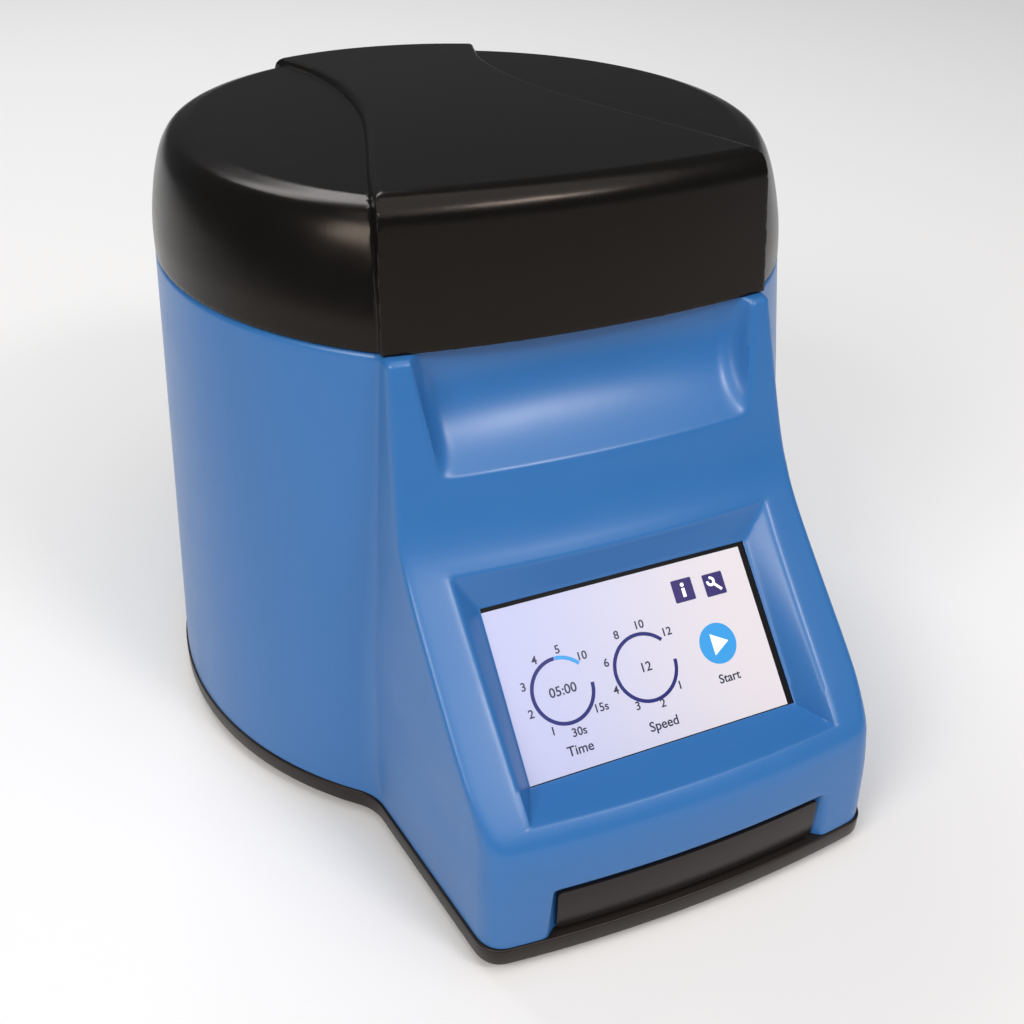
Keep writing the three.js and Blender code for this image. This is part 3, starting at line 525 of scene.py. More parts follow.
def metal(name, colour, rough=0.3, scale=(40.0, 900.0, 900.0), grain=0.05):
    """Machined or drawn metal: fine lines along one axis with a little tarnish."""
    material, nodes, links = shader(name)
    bsdf = nodes["Principled BSDF"]
    bsdf.inputs["Metallic"].default_value = 1.0
    coords = nodes.new("ShaderNodeTexCoord")
    stretch = nodes.new("ShaderNodeMapping")
    stretch.inputs["Scale"].default_value = scale
    links.new(coords.outputs["Object"], stretch.inputs["Vector"])
    lines = nodes.new("ShaderNodeTexNoise")
    lines.inputs["Scale"].default_value = 1.0
    lines.inputs["Detail"].default_value = 3.0
    links.new(stretch.outputs["Vector"], lines.inputs["Vector"])
    tarnish = noise(nodes, links, 60.0, 4.0)
    tarnished = [c * 0.82 for c in colour]
    links.new(mixed(nodes, links, tarnish.outputs["Fac"], tarnished, colour), bsdf.inputs["Base Color"])
    gloss = mapped(nodes, links, lines.outputs["Fac"], rough - 0.08, rough + 0.12)
    links.new(gloss, bsdf.inputs["Roughness"])
    bumped(nodes, links, lines.outputs["Fac"], grain)
    return material


def lit(name, colour, strength=0.6, rough=0.3, right=None):
    """A backlit area of the display that may shade into another colour on its right-hand side, where the
    display's white takes a painted sheen of light.
    """
    material, nodes, links = shader(name)
    bsdf = nodes["Principled BSDF"]
    coords = nodes.new("ShaderNodeTexCoord")
    split = nodes.new("ShaderNodeSeparateXYZ")
    links.new(coords.outputs["Object"], split.inputs["Vector"])
    across = nodes.new("ShaderNodeMapRange")
    across.interpolation_type = "SMOOTHSTEP"
    across.inputs["From Min"].default_value = -SCREEN_W / 2 * MM
    across.inputs["From Max"].default_value = SCREEN_W / 2 * MM
    links.new(split.outputs["X"], across.inputs["Value"])
    # Colour across the glass from left to right: for the display's white a painted sheen of light on the
    # right, otherwise a twentieth darker there.
    shade = mixed(nodes, links, across.outputs["Result"], colour, right or [c * 0.95 for c in colour])
    links.new(shade, bsdf.inputs["Base Color"])
    links.new(shade, bsdf.inputs["Emission Color"])
    bsdf.inputs["Emission Strength"].default_value = strength
    bsdf.inputs["Roughness"].default_value = rough
    bsdf.inputs["Specular IOR Level"].default_value = 0.12
    return material


BLUE = moulded("housing_blue", (0.028, 0.148, 0.405), rough=0.31, grain=0.05, spread=0.03)
# The black plastics' reflections are tinted warm: painted warm light in their reflections.
LID_BLACK = moulded("lid_black", (0.0045, 0.0042, 0.004), rough=0.22, grain=0.03, spread=0.1, specular=0.22,
                    painted_reflection_warmth=(1.0, 0.86, 0.76))
TRAY_BLACK = moulded("tray_black", (0.009, 0.007, 0.0065), rough=0.36, grain=0.1, spread=0.12, specular=0.35,
                     painted_reflection_warmth=(1.0, 0.86, 0.78))
BADGE_BLACK = moulded("badge_black", (0.007, 0.006, 0.006), rough=0.28, grain=0.04, spread=0.1, specular=0.35,
                      painted_reflection_warmth=(1.0, 0.86, 0.8))
DARK = moulded("dark_plastic", (0.02, 0.02, 0.022), rough=0.5, grain=0.12, spread=0.1)
RUBBER = moulded("rubber", (0.012, 0.012, 0.012), rough=0.82, grain=0.25, spread=0.15, specular=0.3)
WHITE = moulded("acetal_white", (0.72, 0.73, 0.72), rough=0.42, grain=0.05, spread=0.03)
BOARD = moulded("solder_mask", (0.012, 0.11, 0.045), rough=0.35, grain=0.1, spread=0.2, scale=700.0)
STEEL = metal("zinc_steel", (0.62, 0.63, 0.64), rough=0.32)
SHAFT = metal("ground_steel", (0.66, 0.66, 0.67), rough=0.22, scale=(900.0, 900.0, 40.0))
ALUMINIUM = metal("turned_aluminium", (0.74, 0.75, 0.76), rough=0.34, scale=(60.0, 60.0, 1600.0))
SHEET = metal("sheet_aluminium", (0.7, 0.71, 0.72), rough=0.4)
GLASS_BLACK = moulded("cover_glass", (0.002, 0.002, 0.003), rough=0.4, grain=0.0, spread=0.1, specular=0.08)
# The display's white turns paler and warmer to the right: a painted sheen of light on the glass.
SCREEN_WHITE_AND_SHEEN = lit("screen_white_and_sheen", (0.34, 0.36, 0.52), strength=0.52, right=(0.49, 0.46, 0.48))
INK_NAVY = lit("ink_navy", (0.004, 0.009, 0.13), strength=0.22)
INK_SKY = lit("ink_sky", (0.03, 0.27, 0.62), strength=0.25)
INK_GREY = lit("ink_grey", (0.02, 0.025, 0.06), strength=0.12)
INK_PURPLE = lit("ink_purple", (0.03, 0.02, 0.13), strength=0.15)
INK_WHITE = lit("ink_white", (0.9, 0.92, 0.95), strength=0.6)

NODE_MATERIALS = {
    DARK: ("display_module", "deck_plate", "motor_body", "rear_panel", "fan_frame", "fan_rotor", "lid_liner",
           "hinge_bracket", "hinge_leaf", "inlet_body", "fuse_drawer", "power_rocker"),
    RUBBER: ("screen_gasket", "lid_seal", "foot_front_left", "foot_front_right", "foot_rear_left",
             "foot_rear_right"),
    GLASS_BLACK: ("touch_glass",),
    BOARD: ("control_board", "power_board"),
    WHITE: ("tube_carrier",),
    SHEET: ("display_bracket", "power_bracket"),
    ALUMINIUM: ("chamber_well", "well_floor", "drive_hub"),
    BLUE: ("housing_shell",),
    LID_BLACK: ("lid_shell",),
    TRAY_BLACK: ("base_tray",),
    BADGE_BLACK: ("name_badge",),
    SHAFT: ("drive_shaft", "lock_bolt", "hinge_pin", "carrier_bearing", "shaft_bearing"),
}


def finish_nodes():
    kinds = {node: material for material, nodes in NODE_MATERIALS.items() for node in nodes}
    for name, node in frame["nodes"].items():
        node.data.materials.clear()
        node.data.materials.append(kinds.get(name, STEEL))
        smooth_shading(node, 30)


finish_nodes()


# -------- housing
def fine_heights():
    """Heights of the housing's rings, closer together where the front's features begin and end."""
    marks = [HOUSING_Z0, RECESS_TOP - RECESS_EDGE, RECESS_TOP, 49.0, BEZEL_Z[0], SCREEN_Z - SCREEN_RISE,
             SCREEN_Z + SCREEN_RISE, BEZEL_Z[1], SCOOP_LIP_Z]
    top = HOUSING_TOP - 2.4  # just under the rim's rounding
    heights = set(np.round(np.arange(HOUSING_Z0, top, 1.1), 3))
    for mark in marks:
        heights |= {round(mark + d, 3) for d in (-1.2, -0.8, -0.4, 0.0, 0.4, 0.8, 1.2)}
    heights |= {round(z, 3) for z in np.arange(SCOOP_LIP_Z - 2, SCOOP_LIP_Z + 8, 0.5)}
    return sorted(z for z in heights if HOUSING_Z0 <= z <= top)


def make_housing():
    rings = [ring_at(z) for z in fine_heights()]
    for a in quarter(7):
        z = HOUSING_TOP - RIM_ROUND + RIM_ROUND * math.sin(a)
        rings.append(ring_at(z, inset=RIM_ROUND * (1 - math.cos(a))))
    made = loft("housing", rings, (STAR_Y, RIM_STAR_Y))
    outer = loft("outer", rings[::6], (STAR_Y, RIM_STAR_Y))
    inner = [ring_at(z, inset=WALL, front=inner_front, counts=COARSE) for z in HOLLOW_Z]
    boolean(made, loft("hollow", inner, (-90.0, -60.0)))
    low = (-POCKET["half_w"] - WALL, POCKET["y"], POCKET["z0"] - WALL)
    high = (POCKET["half_w"] + WALL, 150.0, POCKET["z1"] + WALL)
    pocket_frame = box_piece("pocket_frame", low, high)
    boolean(pocket_frame, outer, "INTERSECT")
    boolean(made, pocket_frame, "UNION")
    low = (-POCKET["half_w"], 80.0, POCKET["z0"])
    boolean(made, box_piece("pocket", low, (POCKET["half_w"], 150.0, POCKET["z1"])))
    seat = (SCREEN_W + 2 * GASKET_RIM, SCREEN_H + 2 * GASKET_RIM)
    for (wide, high), bottom, top in ((seat, -12.0, -WINDOW_LIP), (WINDOW, -1.0, 3.0)):
        window = box_piece("window", (-wide / 2, -high / 2, bottom), (wide / 2, high / 2, top))
        to_screen(window)
        boolean(made, window)
    settle(made, BLUE, "base", ["housing_shell"], degrees=38)


def to_screen(made):
    """Moves a piece drawn flat about the drawing's origin onto the screen's plane."""
    centre = Vector(to_row((0, SCREEN_Y, SCREEN_Z)))
    turn = Matrix.Rotation(SCREEN_SLOPE, 4, "X")
    made.data.transform(Matrix.Translation(centre) @ turn @ Matrix.Translation(-Vector(ORIGIN)))


make_housing()


# -------- tray, badge and feet
def make_tray():
    def ring(z, inset):
        points = outline(HOUSING_Z0, inset, plain_front)
        return np.column_stack([points, np.full(len(points), z)])

    top = HOUSING_Z0 - 0.3
    low_edge, high_edge = 1.1, 0.6
    rings = []
    for a in quarter(5):
        rings.append(ring(low_edge - low_edge * math.cos(a), -TRAY_LEDGE + low_edge * (1 - math.sin(a))))
    for a in quarter(5):
        z = top - high_edge + high_edge * math.sin(a)
        rings.append(ring(z, -TRAY_LEDGE + high_edge * (1 - math.cos(a))))
    made = loft("tray", rings, (STAR_Y, STAR_Y))
    boolean(made, loft("pan", [ring(TRAY_FLOOR, TRAY_RIM), ring(HOUSING_Z0 + 1, TRAY_RIM)], (STAR_Y, STAR_Y)))
    for x, y in TRAY_SCREWS:
        boolean(made, turned("bore", [(2.3, -1), (2.3, 9)], 32, (x, y, 0)))
        boolean(made, turned("head_bore", [(4.4, -1), (4.4, 2)], 48, (x, y, 0)))
    settle(made, TRAY_BLACK, "base", ["base_tray"])


def make_badge():
    """A blank, slightly domed plate that follows the front's bulge."""
    half_w, low, high, corner = BADGE["half_w"], BADGE["z0"], BADGE["z1"], BADGE["corner"]
    middle = (low + high) / 2
    rings = []
    ease = corner * (1 - np.cos(quarter(6)))
    straight = np.linspace(-half_w + corner, half_w - corner, 40)[1:-1]
    for x in np.concatenate([-half_w + ease, straight, half_w - ease[::-1]]):
        reach = max(0.0, corner - (half_w - abs(x)))
        trim = corner - math.sqrt(max(0.0, corner**2 - reach**2))
        z0, z1 = low + trim, high - trim
        y = float(plain_front(x, middle)) + BADGE["set_back"]
        soft = min(0.5, 0.1 + half_w - abs(x))
        section = [(y + soft, z0), (y + 0.15 * soft, z0 + 0.15), (y, z0 + 0.6), (y - 0.15, middle)]
        section += [(y, z1 - 0.6), (y + 0.15 * soft, z1 - 0.15), (y + soft, z1)]
        section += [(y + BADGE["thick"], z1), (y + BADGE["thick"], z0)]
        rings.append(np.array([(x, *p) for p in section]))
    made = loft("badge", rings)
    settle(made, BADGE_BLACK, "base", ["name_badge"], degrees=50)


def make_feet():
    for where in ("front_left", "front_right", "rear_left", "rear_right"):
        node = "foot_" + where
        low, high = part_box(node)
        centre = (np.array([*((low + high) / 2).xy, low.z]) - ORIGIN) / MM
        height = (high.z - low.z) / MM
        profile = [(6.6, 0.0), (7.3, 0.12), (7.8, 0.5), (8.1, 1.0), (9.6, height - 0.4), (9.4, height)]
        made = turned(node + "_pad", profile, 48, tuple(centre))
        settle(made, RUBBER, "base", [node])


make_tray()
make_badge()
make_feet()


# -------- lid
def warp(made, move):
    """Moves every point of a piece by a function of its drawing coordinates."""
    mesh = made.data
    points = np.empty(len(mesh.vertices) * 3)
    mesh.vertices.foreach_get("co", points)
    points = (points.reshape(-1, 3) - ORIGIN) / MM
    mesh.vertices.foreach_set("co", to_row(move(*points.T)).ravel())
    mesh.update()
    return made


def lid_round(name, offset=0.0, z0=LID_RIM, lift=0.0):
    """The round body under the shoulder, grown by an offset and with its top raised by a lift."""
    profile = curve_through(LID_SHOULDER, 6)
    points = [(0.05, z0), (LID_R + offset, z0)]
    points += [(r + offset, z + offset + lift * (z > 215)) for r, z in profile[1:]]
    points += [(0.05, profile[-1][1] + offset + lift)]
    made = turned(name, points, 240)
    return warp(made, lambda x, y, z: np.column_stack([x, y + LID_LEAN * (z - LID_RIM), z]))


def behind_front(name, inset=0.0):
    """Everything behind the curved front face and under the panel's top."""
    radius, top, edge = LID_FRONT["r"] - inset, LID_PANEL_Z - inset, LID_FRONT["round"]
    points = [(0.05, 150.0), (radius, 150.0)]
    for a in quarter(10):
        points.append((radius - edge + edge * math.cos(a), top - edge + edge * math.sin(a)))
    points.append((0.05, top))
    made = turned(name, points, 480)

    def move(x, y, z):
        tilted = z + LID_PANEL_TILT * (y + LID_FRONT["r"]) * (z > top - 2 * edge)
        back = LID_FRONT["y"] + LID_FRONT["r"] + LID_FRONT["lean"] * (z - LID_RIM)
        return np.column_stack([x, y + back, tilted])

    return warp(made, move)


def lid_widen(x, y, z):
    return x * (1 + LID_FRONT["taper"] * (LID_PANEL_Z - z)), y


def lid_panel():
    """The raised panel over the lid's middle, kept off the shoulder behind it."""
    edge = curve_through(LID_PANEL_EDGE, 6)
    rings = []
    levels = [(205.0, 0.0)]
    for a in quarter(8):
        z = LID_PANEL_Z - LID_PANEL_ROUND + LID_PANEL_ROUND * math.sin(a)
        levels.append((z, LID_PANEL_ROUND * (1 - math.cos(a))))
    for z, inset in levels:
        half = np.column_stack([edge[:, 1] - inset, edge[:, 0]])
        points = np.vstack([half, (half * np.array([-1.0, 1.0]))[::-1]])
        rings.append(np.column_stack([points, np.full(len(points), z)]))
    made = loft("panel", rings)

    def move(x, y, z):
        wide, y = lid_widen(x, y, z)
        return np.column_stack([wide, y, z + LID_PANEL_TILT * (y - LID_FRONT["y"])])

    warp(made, move)
    rise = LID_PANEL_Z + LID_PANEL_TILT * (LID_R - LID_FRONT["y"]) - LID_SHOULDER[-1][1] + LID_PANEL_CLEAR
    limit = lid_round("limit", 0.0, LID_RIM, rise)
    boolean(limit, box_piece("ahead", (-90.0, -130.0, 190.0), (90.0, 60.0, 260.0)), "UNION")
    boolean(made, limit, "INTERSECT")
    return made


def make_lid():
    made = lid_round("lid", z0=LID_RIM - RIM_DROP)
    boolean(made, lid_panel(), "UNION")
    half_w = LID_FRONT["half_w"]
    block = box_piece("block", (-half_w, -130.0, LID_RIM - RIM_DROP), (half_w, -92.0, 215.0))
    warp(block, lambda x, y, z: np.column_stack([*lid_widen(x, y, z), z]))
    boolean(made, block, "UNION")
    boolean(made, behind_front("front"), "INTERSECT")
    hollow = lid_round("hollow", -WALL, 180.0)
    boolean(hollow, behind_front("front", WALL), "INTERSECT")
    boolean(made, hollow)
    melted(made, 8)
    settle(made, LID_BLACK, "lid", ["lid_shell"], degrees=60)


make_lid()


# -------- screen
GLASS_TOP = -0.2  # the glass's face below the screen's plane
LIT = 0.04  # thickness of the lit area on the glass
INK = 0.12  # thickness of each painted area


def flat_part(name, loops, low, high, bevel=0.0):
    """A flat piece in XY between two heights, from closed loops where a loop inside another is a hole."""
    curve = bpy.data.curves.new(name, "CURVE")
    curve.dimensions = "2D"
    curve.fill_mode = "BOTH"
    curve.extrude = (high - low) / 2 * MM - bevel * MM
    curve.bevel_depth = bevel * MM
    curve.bevel_resolution = 2
    curve.offset = -bevel * MM
    for loop in loops:
        spline = curve.splines.new("POLY")
        spline.points.add(len(loop) - 1)
        for point, (x, y) in zip(spline.points, loop):
            point.co = (x * MM, y * MM, 0, 1)
        spline.use_cyclic_u = True
    return meshed(name, curve, (low + high) / 2)


def meshed(name, curve, height):
    """A curve or text turned into one closed mesh at a height, in the drawing's frame."""
    source = linked(name, curve)
    mesh = evaluated(source)
    bpy.data.objects.remove(source)
    mesh.transform(Matrix.Translation(Vector(ORIGIN) + Vector((0, 0, height * MM))))
    face_out(mesh, weld=1e-7)
    return linked(name, mesh)


def arc(centre, radius, start, end, steps=48):
    """Points on a circle from one angle to another, in degrees."""
    angles = np.radians(np.linspace(start, end, steps))
    return np.column_stack([centre[0] + radius * np.cos(angles), centre[1] + radius * np.sin(angles)])


def band(centre, radius, width, start, end):
    inner = arc(centre, radius - width / 2, start, end)
    return np.vstack([arc(centre, radius + width / 2, start, end), inner[::-1]])


def rounded_rect(low, high, corner, steps=6):
    (x0, y0), (x1, y1) = low, high
    corners = ((x1 - corner, y1 - corner, 0), (x0 + corner, y1 - corner, 90), (x0 + corner, y0 + corner, 180),
               (x1 - corner, y0 + corner, 270))
    return np.vstack([arc((x, y), corner, a, a + 90, steps) for x, y, a in corners])


def label(text, centre, size):
    curve = bpy.data.curves.new("label", "FONT")
    curve.body = text
    curve.size = size * MM
    curve.align_x = "CENTER"
    curve.align_y = "CENTER"
    curve.resolution_u = 5
    curve.offset = 0.05 * MM
    curve.extrude = INK / 2 * MM
    made = meshed("label", curve, 0.0)
    shift(made, (centre[0] * MM, centre[1] * MM, 0))
    return made


def on_glass(name, pieces, material, layer=0):
    """Joins painted areas into one piece and lays it on the glass, one layer above another."""
    made = joined(name, pieces)
    height = GLASS_TOP + LIT + INK / 2 + 0.02 + layer * INK
    shift(made, (0, 0, height * MM))
    to_screen(made)
    settle(made, material, "base")


def painted(loop):
    return flat_part("ink", [loop], -INK / 2, INK / 2)


def placed(corners, centre):
    return painted(np.array(corners) + np.array(centre))


def wrench(centre):
    """A spanner leaning at 45 degrees: an open jaw and its handle."""
    x, y = centre
    jaw = painted(band((x - 1.3, y + 1.3), 1.35, 0.95, 170, 460))
    half = math.sqrt(0.5)
    lean = np.array([(half, half), (-half, half)])
    return jaw, placed(np.array(HANDLE) @ lean, (x - 0.6, y + 0.6))


def info(centre):
    """A lower-case i: a dot over a stem."""
    x, y = centre
    return painted(arc((x, y + 2.1), 0.75, 0, 345, 24)), placed(STEM, centre)


TIME_DIAL, SPEED_DIAL, START = (-33.3, -3.3), (0.4, -3.7), (31.8, -2.7)
TIME_R, SPEED_R, RING_W, START_R = 11.7, 12.3, 1.35, 7.7
GAP_END = 41  # each dial is open from 0 degrees to here
TIME_MARKS = (("15s", -21, -12.9), ("30s", -31.6, -18.7), ("1", -41.1, -16.1), ("2", -47.3, -8.3),
              ("3", -47.4, 1.5), ("4", -40.7, 9.5), ("5", -31.1, 11.1), ("10", -22.7, 6.6))
SPEED_MARKS = (("1", 11.6, -13.5), ("2", 2.9, -17.9), ("3", -7, -16.3), ("4", -13.5, -8.7),
               ("6", -14.2, 1.7), ("8", -7.3, 10.3), ("10", 2.5, 11.8), ("12", 12.6, 6.6))
MARK_SIZE = 4.3
WORDS = (("05:00", *TIME_DIAL, 4.9), ("12", *SPEED_DIAL, 4.9), ("Start", 32.3, -15.9, 4.7),
         ("Time", -33, -24.6, 5.0), ("Speed", 1, -25.0, 5.0))
ICONS, ICON = ((24.4, 19.8), (37.8, 19.0)), 4.3  # middles of the two menu icons, and their half width
ARROW = ((-2.4, -4.0), (4.4, 0.0), (-2.4, 4.0))
HANDLE = ((-0.5, 0.0), (0.5, 0.0), (0.5, -4.4), (-0.5, -4.4))
STEM = ((-0.65, -2.6), (0.65, -2.6), (0.65, 0.8), (-0.65, 0.8))


def make_screen():
    (x0, x1), (y0, y1) = LIT_X, LIT_Y
    corners = [(x0, y0), (x1, y0), (x1, y1), (x0, y1)]
    panel = flat_part("lit_display", [corners], GLASS_TOP + 0.01, GLASS_TOP + 0.01 + LIT)
    to_screen(panel)
    settle(panel, SCREEN_WHITE_AND_SHEEN, "base")
    navy = [painted(band(TIME_DIAL, TIME_R, RING_W, 90, 360))]
    navy.append(painted(band(SPEED_DIAL, SPEED_R, RING_W, GAP_END, 360)))
    on_glass("dial_rings", navy, INK_NAVY)
    sky = [painted(band(TIME_DIAL, TIME_R, RING_W, GAP_END, 89)), painted(arc(START, START_R, 0, 357, 72))]
    on_glass("start_button", sky, INK_SKY)
    words = [label(text, (x, y), MARK_SIZE) for text, x, y in TIME_MARKS + SPEED_MARKS]
    words += [label(text, (x, y), size) for text, x, y, size in WORDS]
    on_glass("dial_labels", words, INK_GREY)
    squares = [rounded_rect((x - ICON, y - ICON), (x + ICON, y + ICON), 0.5) for x, y in ICONS]
    on_glass("menu_icons", [painted(square) for square in squares], INK_PURPLE)
    on_glass("white_glyphs", [placed(ARROW, START), *wrench(ICONS[1]), *info(ICONS[0])], INK_WHITE, layer=1)


make_screen()


# -------- chamber
DECK = {"z": 180.5, "h": 4.0, "r": 123.4, "front_y": -100.5}
WELL = {"r": 85.0, "wall": 2.5, "floor_z": 116.0, "flange_r": 88.0, "flange_h": 1.8, "hole": 30.0,
        "dish": 4.0, "collar_h": 9.5}
CARRIER = {"r": 76.0, "z": 156.0, "h": 9.0, "notches": 12, "notch_r": 5.8, "notch_at": 66.0, "bore": 22.3,
           "number_at": 52.0}
WOBBLE = math.radians(2)


def rounded_loop(points, corner, steps=4):
    """A closed (radius, height) outline with each corner rounded by up to a given size."""
    p = np.asarray(points, float)
    made = []
    for before, here, after in zip(np.roll(p, 1, 0), p, np.roll(p, -1, 0)):
        to_before, to_after = before - here, after - here
        reach_a = min(corner, np.linalg.norm(to_before) * 0.45)
        reach_b = min(corner, np.linalg.norm(to_after) * 0.45)
        a = here + to_before / np.linalg.norm(to_before) * reach_a
        b = here + to_after / np.linalg.norm(to_after) * reach_b
        for t in np.linspace(0, 1, steps + 1):
            made.append((1 - t) ** 2 * a + 2 * t * (1 - t) * here + t * t * b)
    return made


def wobbled(made):
    """Tilts a piece with the carrier, about the point where the wobble axis crosses the drum's axis."""
    centre = Vector(to_row((0, 0, CARRIER["z"] + CARRIER["h"] / 2)))
    turn = Matrix.Rotation(WOBBLE, 4, "Y")
    made.data.transform(Matrix.Translation(centre) @ turn @ Matrix.Translation(-centre))
    return made


def make_well():
    flange = DECK["z"] + DECK["h"] + 0.3
    outside, inside, low = WELL["r"], WELL["r"] - WELL["wall"], WELL["floor_z"]
    edge, top = WELL["flange_r"], flange + WELL["flange_h"]
    loop = [(inside, low), (outside, low), (outside, flange), (edge, flange), (edge, top), (inside, top)]
    sleeve = turned("well_sleeve", rounded_loop(loop, 1.2), 160, looped=True)
    settle(sleeve, ALUMINIUM, "base", ["chamber_well"])
    rim, floor = inside - 0.3, low + WELL["wall"]
    collar, hole, lip = WELL["hole"] + WELL["wall"], WELL["hole"], low + WELL["wall"] + WELL["collar_h"]
    loop = [(hole, low), (rim, low), (rim, floor + WELL["dish"]), (rim - WELL["dish"], floor)]
    loop += [(collar, floor), (collar, lip), (hole, lip)]
    dish = turned("well_dish", rounded_loop(loop, 1.0), 160, looped=True)
    settle(dish, ALUMINIUM, "base", ["well_floor"])


def make_carrier():
    """The white disc with keyhole notches round its edge, and a raised number beside each."""
    half_turn = math.asin((CARRIER["notch_r"] - 1) / CARRIER["r"])
    mouth = math.asin((CARRIER["notch_r"] - 1) / CARRIER["notch_r"])
    step = 2 * math.pi / CARRIER["notches"]
    top = CARRIER["z"] + CARRIER["h"]
    loop, numbers = [], []
    for i in range(CARRIER["notches"]):
        at = 2 * math.pi * i / CARRIER["notches"]
        centre = CARRIER["notch_at"] * np.array([math.cos(at), math.sin(at)])
        sweep = np.linspace(at - mouth, at - 2 * math.pi + mouth, 20)
        loop.append(centre + CARRIER["notch_r"] * np.column_stack([np.cos(sweep), np.sin(sweep)]))
        edge = np.linspace(at + half_turn, at + step - half_turn, 12)
        loop.append(CARRIER["r"] * np.column_stack([np.cos(edge), np.sin(edge)]))
        number = label(str(i + 1), (0, 0), 6.5)
        shift(number, -ORIGIN)
        number.data.transform(Matrix.Rotation(at + math.pi / 2, 4, "Z"))
        reach = CARRIER["number_at"]
        shift(number, to_row((reach * math.cos(at), reach * math.sin(at), top)))
        numbers.append(number)
    bore = arc((0, 0), CARRIER["bore"], 0, 357.5, 144)
    disc = flat_part("carrier_disc", [np.vstack(loop), bore], CARRIER["z"], top, 0.6)
    settle(wobbled(disc), WHITE, "carrier", ["tube_carrier"])
    settle(wobbled(joined("carrier_numbers", numbers)), DARK, "carrier")


def make_deck():
    half = math.acos(-DECK["front_y"] / DECK["r"])
    start = math.degrees(-math.pi / 2 + half)
    rim = arc((0, 0), DECK["r"], start, 360 - 180 - start, 180)
    notch = [(-4.5, DECK["front_y"]), (-4.5, -85.9), (4.5, -85.9), (4.5, DECK["front_y"])]
    hole = arc((0, 0), WELL["r"] + 0.3, 0, 358, 180)
    made = flat_part("deck", [np.vstack([rim, notch]), hole], DECK["z"], DECK["z"] + DECK["h"], 0.4)
    settle(made, DARK, "base", ["deck_plate"])


def make_hub_nut():
    low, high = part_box("hub_nut")
    middle = ((low.z + high.z) / 2 - ORIGIN[2]) / MM
    hexagon = arc((0, 0), 16.0, 0, 300, 6)
    nut = flat_part("hexagon_nut", [hexagon], middle - 2.3, middle + 2.3, 0.7)
    settle(wobbled(nut), STEEL, "drive", ["hub_nut"])


make_well()
make_carrier()
make_deck()
make_hub_nut()


def make_seal():
    loop = [(83.0, 187.2), (86.5, 187.2), (86.5, 189.1), (83.0, 189.1)]
    made = turned("lid_gasket", rounded_loop(loop, 0.9), 160, looped=True)
    settle(made, RUBBER, "lid", ["lid_seal"])


make_seal()


# -------- hinge and rear
def softened(node, name, material, body, depth=7, passes=4):
    """A copy of a structural node, evenly remeshed so that its edges are rounded as a moulding's are."""
    made = linked(name, frame["nodes"][node].data.copy())
    melted(made, depth, passes)
    return settle(made, material, body, [node], degrees=50)


def make_screw(node, name, body, face_y):
    """A pan-head screw with a hexagon socket, along Y, seen from behind."""
    low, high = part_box(node)
    x = ((low.x + high.x) / 2) / MM
    z = ((low.z + high.z) / 2 - ORIGIN[2]) / MM
    head_r, head_z, head_h = 3.4, 0.5, 1.5
    angles = np.linspace(0, math.pi / 2 - 0.08, 8)
    dome = [(head_r * math.cos(a), head_z + head_h * math.sin(a)) for a in angles]
    profile = [(1.6, -12.0), (1.6, 0.3), (3.2, 0.3), *dome]
    made = turned(name, profile, 48, (x, face_y, z), along_y=True)
    socket = turned("socket", [(1.25, 0.9), (1.25, 3.0)], 6, (x, face_y, z), along_y=True)
    boolean(made, socket)
    settle(made, STEEL, body, [node])


def make_hinge():
    softened("hinge_bracket", "bracket_moulding", DARK, "base")
    softened("hinge_leaf", "leaf_moulding", DARK, "lid")
    for i in (1, 2):
        make_screw(f"leaf_screw_{i}", f"leaf_screw_head_{i}", "lid", 132.0)
        make_screw(f"bracket_screw_{i}", f"bracket_screw_head_{i}", "base", 133.0)


def upright(made, y):
    """Turns a flat piece drawn in XY into the XZ plane, with its underside at y and facing backwards."""
    return warp(made, lambda px, py, pz: np.column_stack([px, y - pz, py]))


INLET_X, INLET_LOW, INLET_HIGH = 30.0, 24.0, 68.0
PANEL_Y, PANEL_THICK = 103.8, 2.5
SOCKET = ((-11, 31), (-11, 45), (11, 45), (11, 31), (7, 27), (-7, 27))
PINS = ((-6, 34), (0, 38), (6, 34))
VENTS = (28, 34, 40, 46, 52, 58)  # heights of the panel's cooling slots


